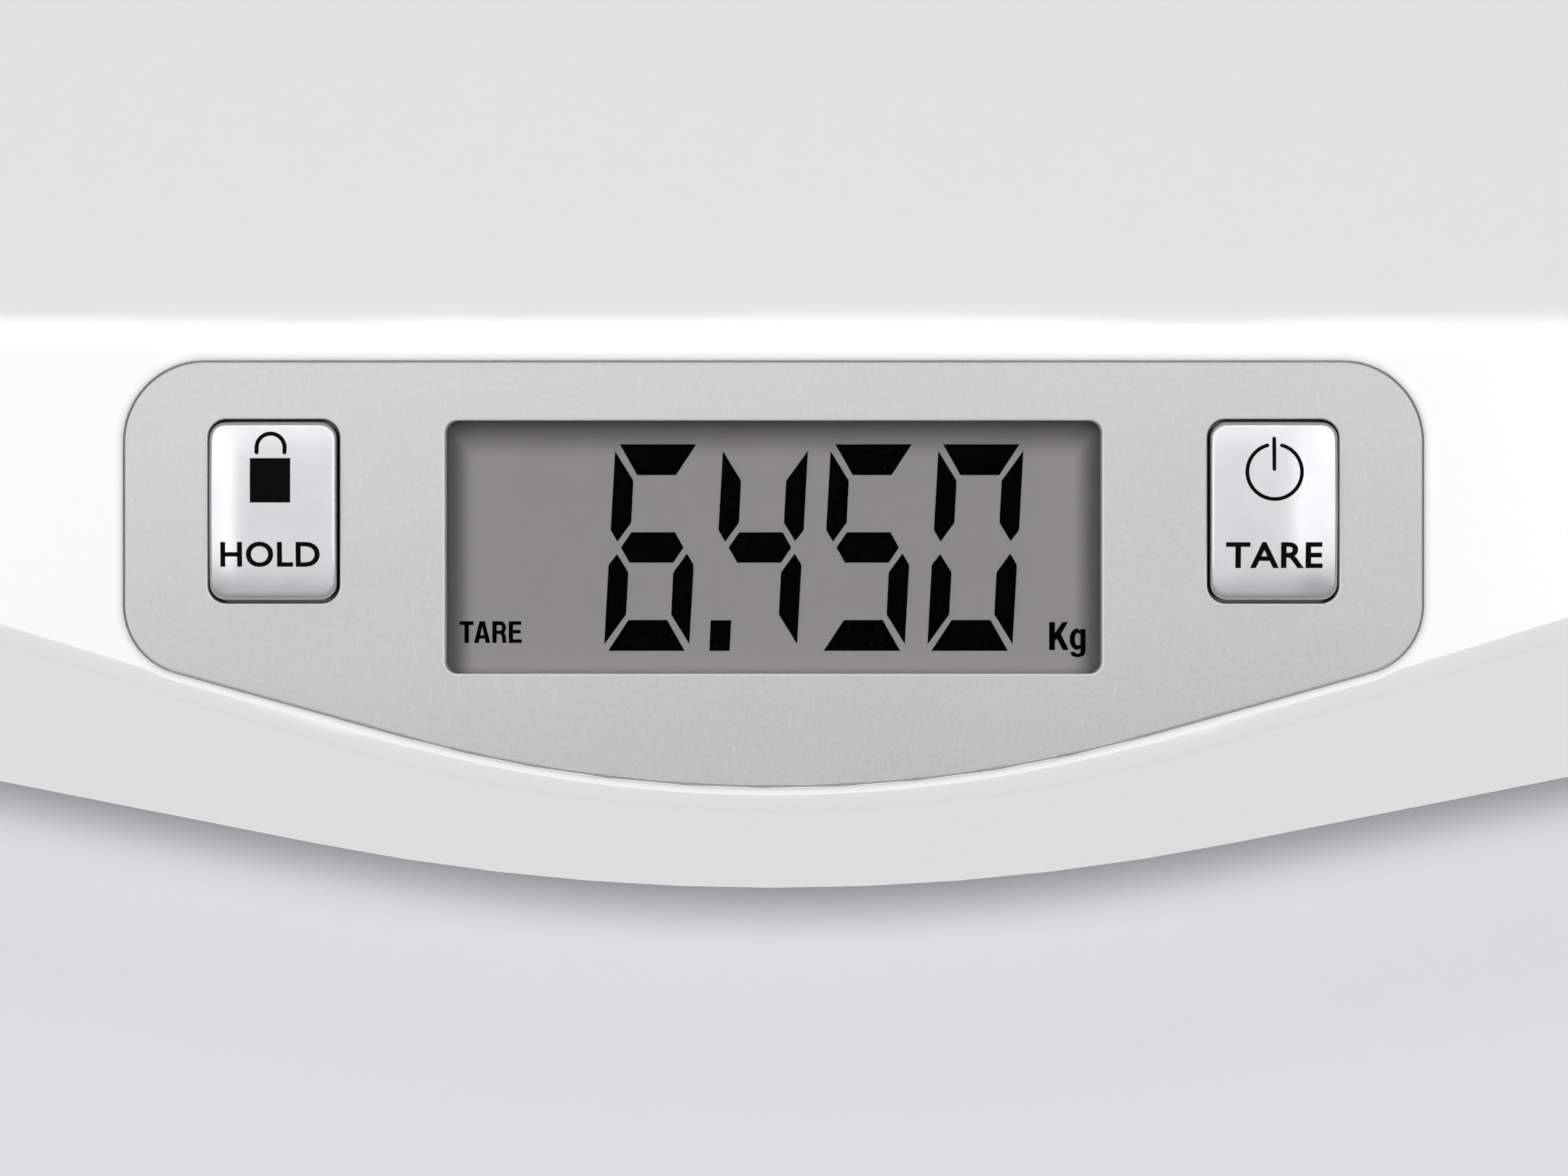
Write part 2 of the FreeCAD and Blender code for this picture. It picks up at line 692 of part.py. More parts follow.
def bottomCover():
    """Pan with foot housings, battery bay, screw pillars and ribs."""
    low = bodyOutline(s.baseInset, s.baseInset, s.baseHeight)
    high = bodyOutline(s.coverReveal, s.coverReveal, s.partingHeight)
    outside = Part.makeLoft([low, high], True, True)
    inside = outside.translated(Vector(0, 0, coverDrop))
    cover = outside.cut(inside)
    added = []
    removed = []
    for x, y in footPlaces.values():
        housing, holes = footHousing(x, y)
        added += housing
        removed += holes
    for grow, shrink in (batteryBay(), switchCradle()):
        added += grow
        removed += shrink
    pillarHeight = s.partingHeight - s.baseHeight
    for x, y in screwPlaces:
        added.append(bored(x, y, s.pillarRadius, pillarHeight, s.baseHeight))
        removed.append(bored(x, y, s.pillarHoleRadius, pillarHeight, s.baseHeight))
        removed.append(bored(x, y, s.screwHeadRadius + s.headGap, s.pillarSeat, s.baseHeight))
    ribDepth = 2 * rearY - s.middleFrontSetback - s.rearScrewSetback
    ribY = (s.middleFrontSetback - s.rearScrewSetback) / 2
    for x in (-s.coverRibOffset, s.coverRibOffset):
        added.append(block(s.ribWidth, ribDepth, s.coverRibHeight + coverDrop, x, ribY, s.baseHeight))
    cover = cover.multiFuse(added).cut(removed).removeSplitter()
    feature = doc.addObject("Part::Feature", "bottomCover")
    feature.Shape = max(cover.Solids, key=lambda solid: solid.Volume)
    return keep(feature, "bottom_cover")


# Display


def displayPieces():
    lensTop = "-seatDepth"
    glass = ("panelWidth", "panelHeight", "0", "0")
    plate("display_lens", [glass], f"{lensTop} - lensThickness", "lensThickness", console)
    panelBase = f"{lensTop} - lensThickness - panelThickness"
    plate("display_panel", [glass], panelBase, "panelThickness", console)

    # The holder is a ring round lens and panel, over a shelf with a slot for each contact strip
    holder = newBody("display_holder")
    ringInner = ("panelWidth + 2 * fitGap", "panelHeight + 2 * fitGap", "0", "0")
    outer = ("panelWidth + 2 * holderWall", "panelHeight + 2 * holderWall", "0", "0")
    opening = ("panelWidth - 2 * holderWall", "panelHeight - 4 * (stripWidth + stripInset)", "0", "0")
    shelfBase = f"{panelBase} - holderDepth"
    pad(holder, [outer, opening], shelfBase, "holderDepth")
    pad(holder, [outer, ringInner], panelBase, "panelThickness + lensThickness")
    stripY = "panelHeight / 2 - stripInset - stripWidth / 2"
    stripLength = "panelWidth - 4 * stripInset"
    slotLength = f"{stripLength} + 2 * fitGap"
    slots = [(slotLength, "stripWidth + 2 * fitGap", "0", f"{sign}({stripY})") for sign in ("", "-")]
    pocket(holder, slots, shelfBase, "holderDepth")
    keep(holder, "display_holder", console)
    for name, sign in (("upper_contact_strip", ""), ("lower_contact_strip", "-")):
        strip = (stripLength, "stripWidth", "0", f"{sign}({stripY})")
        plate(name, [strip], shelfBase, "holderDepth", console)


# Buttons and their switches

boardTop = "-(seatDepth + lensThickness + panelThickness + holderDepth)"
boardBase = f"({boardTop} - boardThickness)"
plungerProud = "(buttonTravel + keyCap)"


def button(name, side):
    """A crowned cap with a retaining flange and a stem down to the switch."""
    x = f"({side} * buttonOffset)"
    width = "holeWidth - 2 * buttonGap"
    height = "holeHeight - 2 * buttonGap"
    flangeTop = "(-seatDepth - fitGap)"
    stemBase = f"({boardTop} + keyHeight + {plungerProud})"
    body = newBody(name + "Block")
    cap = pad(body, [(width, height, x, "buttonRise")], flangeTop, f"capProud - {flangeTop}")
    rounded = fillet(body, cap, upright, "holeRadius - buttonGap")
    fillet(body, rounded, edgeAt(s.capProud), "capEdgeRadius")
    flange = ("holeWidth + 2 * flangeWidth", "holeHeight + 2 * flangeWidth", x, "buttonRise")
    pad(body, [flange], f"{flangeTop} - flangeThickness", "flangeThickness")
    pad(body, [("stemRadius", x, "buttonRise")], stemBase, f"{flangeTop} - {stemBase}")
    crown = doc.addObject("Part::Sphere", name + "Crown")
    crown.setExpression("Radius", formula("crownRadius"))
    crown.setExpression("Placement.Base.x", formula(x))
    crown.setExpression("Placement.Base.y", formula("buttonRise"))
    crown.setExpression("Placement.Base.z", formula("capProud - crownRadius"))
    common = doc.addObject("Part::Common", name)
    common.Base = body
    common.Tool = crown
    keep(common, name, console)


def keySwitch(name, side):
    """A push switch on the board: its case, and the plunger under the button's stem."""
    x = f"({side} * buttonOffset)"
    case = newBody(name + "_switch_case")
    pad(case, [("keySize", "keySize", x, "buttonRise")], boardTop, "keyHeight")
    guide = ("plungerRadius + runningGap", x, "buttonRise")
    pocket(case, [guide], f"{boardTop} + keyCap", "keyHeight - keyCap")
    keep(case, name + "_switch_case", console)
    base = f"{boardTop} + keyHeight - plungerDepth"
    height = f"plungerDepth + {plungerProud}"
    plate(name + "_switch_plunger", [("plungerRadius", x, "buttonRise")], base, height, console)


def boardPieces():
    depth = "(boardFront + boardRear)"
    middle = "((boardRear - boardFront) / 2)"
    loops = [("boardWidth", depth, "0", middle)]
    holeRadius = "smallScrewRadius + fitGap"
    for side in ("-1", "1"):
        for y in ("-boardBossFront", "boardBossRear"):
            loops.append((holeRadius, f"{side} * buttonOffset", y))
    plate("main_board", loops, boardBase, "boardThickness", console)
    blob = ("controllerRadius", "0", "0")
    plate("controller_blob", [blob], f"{boardBase} - controllerHeight", "controllerHeight", console)
    chip = ("converterWidth", "converterDepth", "connectorOffset", "0")
    plate("converter_chip", [chip], f"{boardBase} - converterHeight", "converterHeight", console)
    connectorY = "connectorRear - connectorDepth / 2"
    connectors = {
        "left_sensor_connector": "-connectorOffset",
        "power_connector": "0",
        "right_sensor_connector": "connectorOffset",
    }
    for name, x in connectors.items():
        block = ("connectorWidth", "connectorDepth", x, connectorY)
        plate(name, [block], f"{boardBase} - connectorHeight", "connectorHeight", console)


def screwGroup(label, places, seat, radius, headRadius, headHeight, length, place=None):
    """Screws driven upwards, heads under the seat level, as one sub-part of separate solids."""
    screws = []
    for k, (x, y) in enumerate(places):
        head = rod(f"{label}Head{k}", headRadius, headHeight, (x, y, f"{seat} - {headHeight}"))
        shank = rod(f"{label}Shank{k}", radius, length, (x, y, seat))
        screw = doc.addObject("Part::MultiFuse", f"{label}{k}")
        screw.Shapes = [head, shank]
        screws.append(screw)
    group = doc.addObject("Part::Compound", label)
    group.Links = screws
    keep(group, label, place)


def fasteners():
    places = []
    cornerX = "(bodyLength / 2 - cornerScrewSetback)"
    for side in ("-1", "1"):
        for x, y in ((cornerX, "(frontScrewSetback - bodyDepth / 2)"),
                     (cornerX, "(bodyDepth / 2 - rearScrewSetback)"),
                     ("middleScrewX", "(middleFrontSetback - bodyDepth / 2)"),
                     ("middleScrewX", "(bodyDepth / 2 - middleRearSetback)")):
            places.append((f"{side} * {x}", y))
    screwGroup("cover_screws", places, "(baseHeight + pillarSeat)", "screwRadius", "screwHeadRadius",
               "screwHeadHeight", "screwLength")
    rows = ("-boardBossFront", "boardBossRear")
    places = [(f"{side} * buttonOffset", y) for side in ("-1", "1") for y in rows]
    screwGroup("board_screws", places, boardBase, "smallScrewRadius", "smallHeadRadius", "smallHeadHeight",
               "smallScrewLength", console)


# Load cell feet


def foot(corner, x, y):
    """Pad, cup, load cell and retainer of one corner."""
    place = FreeCAD.Placement(Vector(x, y, 0), Rotation())
    tread = newBody("foot_pad_" + corner)
    disc = pad(tread, [("padRadius", "0", "0")], "0", "padThickness")
    fillet(tread, disc, edgeAt(0), "padEdgeRadius")
    keep(tread, "foot_pad_" + corner, place)

    cup = newBody("foot_cup_" + corner)
    pad(cup, [("footRadius", "0", "0")], "padThickness", "footThickness")
    pad(cup, [("stemOuterRadius", "0", "0")], "padThickness", "cellHeight - padThickness")
    keep(cup, "foot_cup_" + corner, place)

    # A slot on three sides frees the middle tongue of the steel plate
    cell = newBody("load_cell_" + corner)
    pad(cell, [("cellSize", "cellSize", "0", "0")], "cellHeight", "cellThickness")
    tongue = "(cellSize - 2 * cellBand)"
    across = (tongue, "cellSlot", "0", f"-{tongue} / 2 + cellSlot / 2")
    pocket(cell, [across], "cellHeight", "cellThickness")
    sides = [("cellSlot", f"{tongue}", f"{sign}({tongue} / 2 - cellSlot / 2)", "0") for sign in ("", "-")]
    pocket(cell, sides, "cellHeight", "cellThickness")
    keep(cell, "load_cell_" + corner, place)

    retainer = newBody("load_cell_retainer_" + corner)
    outline = ("cellSize", "2 * (earOffset + earRadius)", "0", "0")
    opening = ("cellSize - 2 * cellBand", "cellSize - 2 * cellBand", "0", "0")
    holes = [("smallScrewRadius + fitGap", "0", f"{sign}earOffset") for sign in ("", "-")]
    pad(retainer, [outline, opening, *holes], "cellHeight + cellThickness", "retainerThickness")
    keep(retainer, "load_cell_retainer_" + corner, place)


def retainerScrews():
    """Two screws down through each retainer."""
    seat = "cellHeight + cellThickness + retainerThickness"
    screws = []
    for side in ("-1", "1"):
        for y in ("(footFrontSetback - bodyDepth / 2)", "(bodyDepth / 2 - footRearSetback)"):
            for ear in ("-earOffset", "earOffset"):
                name = f"retainerScrew{len(screws)}"
                spot = (f"{side} * (bodyLength / 2 - footEndSetback)", f"{y} + {ear}")
                head = rod(name + "Head", "smallHeadRadius", "smallHeadHeight", (*spot, seat))
                tip = f"{seat} - smallScrewLength"
                shank = rod(name + "Shank", "smallScrewRadius", "smallScrewLength", (*spot, tip))
                screw = doc.addObject("Part::MultiFuse", name)
                screw.Shapes = [head, shank]
                screws.append(screw)
    group = doc.addObject("Part::Compound", "retainerScrews")
    group.Links = screws
    keep(group, "retainer_screws")


# Batteries


def batteryRow(row):
    """Y of one battery, counted from the rear; the latch has its room at the front."""
    return s.bayY + bayDepth / 2 - (row + 0.5) * s.cellPitch


def batteries():
    """Four cells side by side, each turned the other way round than its neighbour."""
    for row in range(4):
        flip = 1 if row % 2 == 0 else -1
        name = f"battery_{row + 1}"
        body = newBody(name)
        pad(body, [("batteryRadius", "0", "0")], "0", "batteryLength", role="YZ_Plane")
        pad(body, [("nubRadius", "0", "0")], "batteryLength", "nubHeight", role="YZ_Plane")
        start = -flip * (bayWidth / 2 - s.contactThickness - s.springHeight)
        turn = Rotation(Vector(0, 0, 1), 0 if flip > 0 else 180)
        keep(body, name, FreeCAD.Placement(Vector(start, batteryRow(row), batteryHeight), turn))


def batterySprings():
    """Coil springs of eight-sided wire, because a round one makes a very heavy mesh."""
    springs = []
    for row in range(4):
        flip = 1 if row % 2 == 0 else -1
        coil = doc.addObject("Part::Helix", f"springPath{row}")
        coil.setExpression("Radius", formula("springRadius"))
        coil.setExpression("Pitch", formula("(springHeight - 2 * springWire) / springTurns"))
        coil.setExpression("Height", formula("springHeight - 2 * springWire"))
        wire = doc.addObject("Part::RegularPolygon", f"springWire{row}")
        wire.Polygon = 8
        wire.setExpression("Circumradius", formula("springWire"))
        wire.Placement = FreeCAD.Placement(Vector(s.springRadius, 0, 0), Rotation(Vector(1, 0, 0), 90))
        spring = doc.addObject("Part::Sweep", f"spring{row}")
        spring.Sections = [wire]
        spring.Spine = (coil, ["Edge1"])
        spring.Solid = True
        spring.Frenet = True
        start = -flip * (bayWidth / 2 - s.contactThickness - s.springWire)
        turn = Rotation(Vector(0, 1, 0), 90 * flip)
        spring.Placement = FreeCAD.Placement(Vector(start, batteryRow(row), batteryHeight), turn)
        springs.append(spring)
    group = doc.addObject("Part::Compound", "batterySprings")
    group.Links = springs
    keep(group, "battery_springs")


def batteryContacts():
    """Flat contact plates, one at each end of each battery."""
    plates = []
    for row in range(4):
        for side in (-1, 1):
            contact = doc.addObject("Part::Box", f"contact{len(plates)}")
            contact.setExpression("Length", formula("contactThickness"))
            contact.setExpression("Width", formula("contactSize"))
            contact.setExpression("Height", formula("contactSize"))
            x = -bayWidth / 2 if side < 0 else bayWidth / 2 - s.contactThickness
            corner = Vector(x, batteryRow(row) - s.contactSize / 2, batteryHeight - s.contactSize / 2)
            contact.Placement = FreeCAD.Placement(corner, Rotation())
            plates.append(contact)
    group = doc.addObject("Part::Compound", "batteryContacts")
    group.Links = plates
    keep(group, "battery_contacts")


def batteryDoor():
    """Flat door that turns on two pins along its rear edge, with a latch tongue at the front."""
    width = f"({bayWidth} + 2 * doorMargin)"
    body = newBody("battery_door")
    plateLoop = (str(doorLength), "doorThickness", str(-doorLength / 2), "0")
    pad(body, [plateLoop], "0", width, role="YZ_Plane", both=True)
    pad(body, [("doorThickness / 2", "0", "0")], "0", width, role="YZ_Plane", both=True)
    pinSpan = f"{width} + 2 * (doorGap + pinLength - fitGap)"
    pad(body, [("pinRadius", "0", "0")], "0", pinSpan, role="YZ_Plane", both=True)
    latchY = f"-{doorLength - s.doorMargin} + 2 * doorGap + latchThickness / 2"
    pad(body, [("latchWidth", "latchThickness", "0", latchY)], "0", "doorThickness / 2 + latchHeight")
    keep(body, "battery_door", FreeCAD.Placement(Vector(0, doorPivotY, doorPivotZ), Rotation()))


# Unit switch


def unitSwitch():
    place = FreeCAD.Placement(Vector(-s.switchX, s.bayY, coverFloor), Rotation())
    case = newBody("unit_switch_case")
    pad(case, [("switchWidth", "switchDepth", "0", "0")], "0", "switchHeight")
    slot = ("knobWidth + knobTravel + 2 * knobGap", "knobDepth + 2 * knobGap", "knobTravel / 2", "0")
    pocket(case, [slot], "0", "switchSkin + knobGap")
    chamber = ("sliderWidth + knobTravel + 2 * knobGap", "sliderDepth + 2 * knobGap", "knobTravel / 2", "0")
    pocket(case, [chamber], "switchSkin", "sliderHeight + 2 * knobGap")
    keep(case, "unit_switch_case", place)
    knob = newBody("unit_switch_knob")
    pad(knob, [("sliderWidth", "sliderDepth", "0", "0")], "switchSkin + knobGap", "sliderHeight")
    reach = f"{coverDrop} - knobInset"
    pad(knob, [("knobWidth", "knobDepth", "0", "0")], f"-({reach})", f"{reach} + switchSkin + 2 * knobGap")
    keep(knob, "unit_switch_knob", place)


# Leads


def routedTube(points, radius):
    """A tube along straight runs joined by tangent arcs."""
    edges = []
    start = points[0]
    for k in range(1, len(points) - 1):
        back = points[k - 1] - points[k]
        ahead = points[k + 1] - points[k]
        reach = 0.45 * min(back.Length, ahead.Length)
        back.normalize()
        ahead.normalize()
        half = back.getAngle(ahead) / 2
        bend = reach * math.tan(half)
        middle = points[k] + (back + ahead).normalize() * (bend / math.sin(half) - bend)
        first = points[k] + back * reach
        last = points[k] + ahead * reach
        edges.append(Part.LineSegment(start, first).toShape())
        edges.append(Part.Arc(first, middle, last).toShape())
        start = last
    edges.append(Part.LineSegment(start, points[-1]).toShape())
    path = Part.Wire(edges)
    section = Part.Wire([Part.Circle(points[0], points[1] - points[0], radius).toShape()])
    tube = path.makePipeShell([section], True, False)
    expected = math.pi * radius ** 2 * path.Length
    if abs(tube.Volume - expected) > expected / 100:
        raise RuntimeError("a lead's tube has the wrong volume")
    return tube


def lead(label, points, radius):
    feature = doc.addObject("Part::Feature", label + "Tube")
    feature.Shape = routedTube(points, radius)
    keep(feature, label)


def boardEnd(x):
    """The last two points of a lead, square to its connector's rear face."""
    middle = -boardDepth - s.boardThickness - s.connectorHeight / 2
    face = console.multVec(Vector(x, s.connectorRear, middle))
    return [console.multVec(Vector(x, s.connectorRear + s.plugRun, middle)), face]


def leads():
    cellLevel = s.cellHeight + s.cableRadius + s.fitGap
    for corner, (x, y) in footPlaces.items():
        side = 1 if x > 0 else -1
        cellEdge = footX - s.cellSize / 2
        innerX = cellEdge - 2 * s.exitRun
        points = [Vector(side * reach, y, cellLevel) for reach in (cellEdge, innerX)]
        lane = s.connectorOffset + (s.connectorWidth / 4 if y < 0 else -s.connectorWidth / 4)
        middleX = (innerX + lane) / 2
        if y < 0:
            points.append(Vector(side * middleX, y, s.cableFloor))
        else:
            points.append(Vector(side * middleX, y / 3, s.cableFloor))
            points.append(Vector(side * (middleX + lane) / 2, -y / 3, s.cableFloor))
        lead("sensor_lead_" + corner, points + boardEnd(side * lane), s.cableRadius)
    wallX = -bayWidth / 2
    outside = wallX - s.bayWall - s.exitRun
    for name, row, lane in (("battery_lead_rear", 0, -1), ("battery_lead_front", 3, 1)):
        y = batteryRow(row)
        laneX = outside + lane * s.bayWall
        points = [Vector(wallX, y, batteryHeight), Vector(laneX, y, batteryHeight)]
        points.append(Vector(laneX, -s.exitRun, s.cableFloor))
        lead(name, points + boardEnd(lane * s.connectorWidth / 4), s.leadRadius)


topShell()
consoleLabel()
displayPieces()
for side, name in (("-1", "hold"), ("1", "tare")):
    button(name + "_button", side)
    keySwitch(name, side)
boardPieces()
bottomCover()
fasteners()
for corner, (x, y) in footPlaces.items():
    foot(corner, x, y)
retainerScrews()
batteries()
batterySprings()
batteryContacts()
batteryDoor()
unitSwitch()
leads()
doc.recompute()

for item in doc.Objects:
    if "Invalid" in item.State or "Error" in item.State:
        raise RuntimeError(f"{item.Label}: {item.State}")
for node in nodes:
    if node.Shape.isNull() or not node.Shape.isValid():
        raise RuntimeError(f"{node.Label}: null or broken shape")

os.makedirs("parts", exist_ok=True)
for node in nodes:
    node.Shape.exportStep(f"parts/{node.Label}.step")
    print(f"{node.Label}: {len(node.Shape.Solids)} solid(s), {node.Shape.Volume:.1f} mm3")
print(len(nodes), "sub-parts")
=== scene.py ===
import math

import bmesh
import bpy
from mathutils import Matrix, Vector


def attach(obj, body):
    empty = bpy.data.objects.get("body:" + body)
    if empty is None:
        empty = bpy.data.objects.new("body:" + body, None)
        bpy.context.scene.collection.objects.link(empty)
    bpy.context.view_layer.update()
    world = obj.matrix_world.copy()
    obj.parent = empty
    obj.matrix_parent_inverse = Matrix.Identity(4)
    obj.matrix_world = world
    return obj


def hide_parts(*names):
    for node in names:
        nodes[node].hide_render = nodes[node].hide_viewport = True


# A baby scale: white tray with a silver console label, a liquid crystal display and two keys.
# Lengths in the settings are millimetres, angles are degrees; the frame is in metres.

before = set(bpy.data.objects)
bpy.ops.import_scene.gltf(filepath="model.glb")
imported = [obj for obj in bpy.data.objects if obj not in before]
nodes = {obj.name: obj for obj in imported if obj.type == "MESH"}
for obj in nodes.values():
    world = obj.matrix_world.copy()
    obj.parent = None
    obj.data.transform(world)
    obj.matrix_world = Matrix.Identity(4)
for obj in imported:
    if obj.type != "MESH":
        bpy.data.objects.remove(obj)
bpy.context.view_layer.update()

# The console is a plane tilted towards the front. u runs to the right, v up its slope, w out of it.
console = {"slope": 16.0, "origin": (0.0, -126.7, 34.282)}
consolePlace = (
    Matrix.Translation(Vector(console["origin"]) / 1000)
    @ Matrix.Rotation(math.radians(console["slope"]), 4, "X")
)


def onConsole(u, v, w):
    return consolePlace @ (Vector((u, v, w)) / 1000)


def onFloor(x, y, z):
    return Vector((x, y, z)) / 1000


def addObject(name, data):
    thing = bpy.data.objects.new(name, data)
    bpy.context.scene.collection.objects.link(thing)
    return thing


# Camera

camera = {
    "lens": 85.0,
    "sensor": 36.0,
    "aim": (1.26, -4.92),  # console point in the middle of the picture
    "pictureWidth": 188.16,  # how much of the console the picture's long side takes in
}
cameraData = bpy.data.cameras.new("camera")
cameraData.lens = camera["lens"]
cameraData.sensor_width = camera["sensor"]
cameraObject = addObject("camera", cameraData)
distance = camera["pictureWidth"] * camera["lens"] / camera["sensor"]
cameraObject.matrix_world = (
    Matrix.Translation(onConsole(*camera["aim"], distance)) @ consolePlace.to_3x3().to_4x4()
)
bpy.context.scene.camera = cameraObject
print("camera:", round(distance), "mm from the console")


# Materials


def linear(hexText):
    # sRGB hex to the linear values that Blender's sockets take
    channels = [int(hexText[k:k + 2], 16) / 255 for k in (1, 3, 5)]
    return tuple(c / 12.92 if c <= 0.04045 else ((c + 0.055) / 1.055) ** 2.4 for c in channels) + (1.0,)


def perMillimetre(size):
    # Texture scale at which one feature is this many millimetres across
    return 1000.0 / size


def addNode(tree, kind, inputs=None, output=0, **settings):
    # A shader node with its settings, and its inputs as values or links; gives one of its outputs.
    # A colour Mix has its factor at input 0, its colours at 6 and 7 and its result at output 2.
    node = tree.nodes.new("ShaderNode" + kind)
    for name, value in settings.items():
        setattr(node, name, value)
    for name, value in (inputs or {}).items():
        if isinstance(value, bpy.types.NodeSocket):
            tree.links.new(value, node.inputs[name])
        else:
            node.inputs[name].default_value = value
    return node.outputs[output] if node.outputs else None


materials = {}


def startMaterial(name):
    material = bpy.data.materials.new(name)
    material.use_nodes = True
    material.node_tree.nodes.clear()
    materials[name] = material
    return material.node_tree, addNode(material.node_tree, "TexCoord", output="Object")


def finishMaterial(tree, inputs):
    addNode(tree, "OutputMaterial", {"Surface": addNode(tree, "BsdfPrincipled", inputs)})


def consoleMillimetres(tree, place):
    # Object coordinates turned into the console's own u, v and w
    turned = addNode(tree, "Mapping", {
        "Vector": place,
        "Location": Vector(console["origin"]) / 1000,
        "Rotation": (math.radians(console["slope"]), 0, 0),
        "Scale": (0.001, 0.001, 0.001),
    }, vector_type="TEXTURE")
    return addNode(tree, "SeparateXYZ", {0: turned}).node.outputs


def mouldedPlastic(name, light, dark, gloss, grain, grainDepth, sheen):
    # Moulded plastic takes its surface from the steel: a polished tool leaves a soft gloss with a
    # faint orange peel, a spark-eroded one an even fine texture
    tree, place = startMaterial(name)
    speck = addNode(tree, "TexNoise", {"Vector": place, "Scale": perMillimetre(0.3), "Detail": 1.0})
    handling = addNode(tree, "TexNoise", {"Vector": place, "Scale": perMillimetre(16.0)})
    peel = addNode(tree, "TexNoise", {"Vector": place, "Scale": perMillimetre(grain), "Detail": 1.0})
    finishMaterial(tree, {
        "Base Color": addNode(tree, "Mix", {0: speck, 6: linear(light), 7: linear(dark)}, 2, data_type="RGBA"),
        "Roughness": addNode(tree, "MapRange", {
            "Value": handling, "To Min": gloss - 0.015, "To Max": gloss + 0.02}),
        "IOR": 1.53,
        "Specular IOR Level": sheen,
        "Normal": addNode(tree, "Bump", {"Height": peel, "Distance": grainDepth / 1000}),
    })


plastics = {
    # two close tones, roughness, size and depth of the grain, specular level
    "polishedAbs": ("#F2F2F2", "#EFEFEF", 0.21, 3.0, 0.001, 0.95),
    "sparkErodedAbs": ("#7B7D81", "#727478", 0.55, 0.6, 0.03, 0.5),
    "naturalAbs": ("#E4E2DC", "#DBD9D3", 0.45, 0.8, 0.01, 0.5),
    "blackAbs": ("#222224", "#1A1A1C", 0.5, 0.6, 0.02, 0.5),
    "greyAcetal": ("#BDBFC1", "#B3B5B8", 0.36, 1.2, 0.01, 0.5),
    "ivoryNylon": ("#E3DDCB", "#D8D1BE", 0.42, 0.9, 0.01, 0.5),
    "blackNylon": ("#18181A", "#101012", 0.42, 0.7, 0.01, 0.5),
    "epoxyDrop": ("#141415", "#0C0C0D", 0.22, 3.0, 0.05, 0.5),
}
for name, settings in plastics.items():
    mouldedPlastic(name, *settings)


def satinSheet():
    # Aluminium sheet under a satin lacquer: a quiet grey with painted shade that darkens it down the
    # slope and to the right, with a fine grain, a few hairlines and its eased rims painted near white
    satin = {
        "light": "#C1C3C1", "deep": "#A6A8A6", "edge": "#FFFFFF", "hair": "#F4F5F4",
        "slope": (22.0, -29.0, 0.5), "across": (-78.0, 78.0, 0.25), "start": -0.1,
        "cloudSize": 30.0, "cloud": 0.35, "grainSize": 0.45, "grain": 0.09,
        "hairSpacing": 0.7, "hairLength": 45.0, "hairAngle": -38.0, "hairs": 0.07,
        "bareRimAndHighlight": (-0.205, -0.235, 0.85),
    }
    tree, place = startMaterial("satinAluminium")
    u, v, w = consoleMillimetres(tree, place)
    # painted shade: the tone darkens down the slope and towards the right, as the light falls off
    top, bottom, most = satin["slope"]
    fall = addNode(tree, "MapRange", {"Value": v, "From Min": top, "From Max": bottom})
    left, right, rise = satin["across"]
    across = addNode(tree, "MapRange", {"Value": u, "From Min": left, "From Max": right, "To Max": rise})
    depth = addNode(tree, "Math", {0: fall, 1: most, 2: across}, operation="MULTIPLY_ADD")
    depth = addNode(tree, "Math", {0: depth, 1: satin["start"]}, operation="ADD")
    cloud = addNode(tree, "TexNoise", {"Vector": place, "Scale": perMillimetre(satin["cloudSize"])})
    depth = addNode(tree, "Math", {0: cloud, 1: satin["cloud"], 2: depth}, operation="MULTIPLY_ADD")
    base = addNode(tree, "Mix", {0: depth, 6: linear(satin["light"]), 7: linear(satin["deep"])}, 2,
                   data_type="RGBA")
    flake = addNode(tree, "TexNoise", {
        "Vector": place, "Scale": perMillimetre(satin["grainSize"]), "Roughness": 0.7})
    grain = addNode(tree, "MapRange", {
        "Value": flake, "From Min": 0.3, "From Max": 0.7, "To Max": satin["grain"]})
    grained = addNode(tree, "Mix", {0: grain, 6: base, 7: linear(satin["edge"])}, 2, data_type="RGBA")
    # hairlines are the crests of a noise stretched along one direction
    across, along = perMillimetre(satin["hairSpacing"]), perMillimetre(satin["hairLength"])
    turned = addNode(tree, "Mapping", {
        "Vector": place, "Rotation": (0, 0, math.radians(satin["hairAngle"])), "Scale": (across, along, across)})
    streaks = addNode(tree, "TexNoise", {"Vector": turned, "Scale": 1.0, "Detail": 1.0})
    crests = addNode(tree, "MapRange", {"Value": streaks, "From Min": 0.68, "From Max": 0.74})
    hairs = addNode(tree, "Math", {0: crests, 1: satin["hairs"]}, operation="MULTIPLY")
    lacquered = addNode(tree, "Mix", {0: hairs, 6: grained, 7: linear(satin["hair"])}, 2, data_type="RGBA")
    # painted highlight: the top of each eased rim turns near white, partly the bare cut metal and partly the glint
    # of the rim
    start, end, share = satin["bareRimAndHighlight"]
    bareRimAndHighlight = addNode(tree, "MapRange", {"Value": w, "From Min": start, "From Max": end, "To Max": share})
    finishMaterial(tree, {
        "Base Color": addNode(tree, "Mix", {0: bareRimAndHighlight, 6: lacquered, 7: linear(satin["edge"])}, 2,
                              data_type="RGBA"),
        "Metallic": 0.12,
        "Roughness": addNode(tree, "MapRange", {"Value": flake, "To Min": 0.34, "To Max": 0.44}),
        "Normal": addNode(tree, "Bump", {"Height": flake, "Distance": 0.002 / 1000}),
    })


satinSheet()


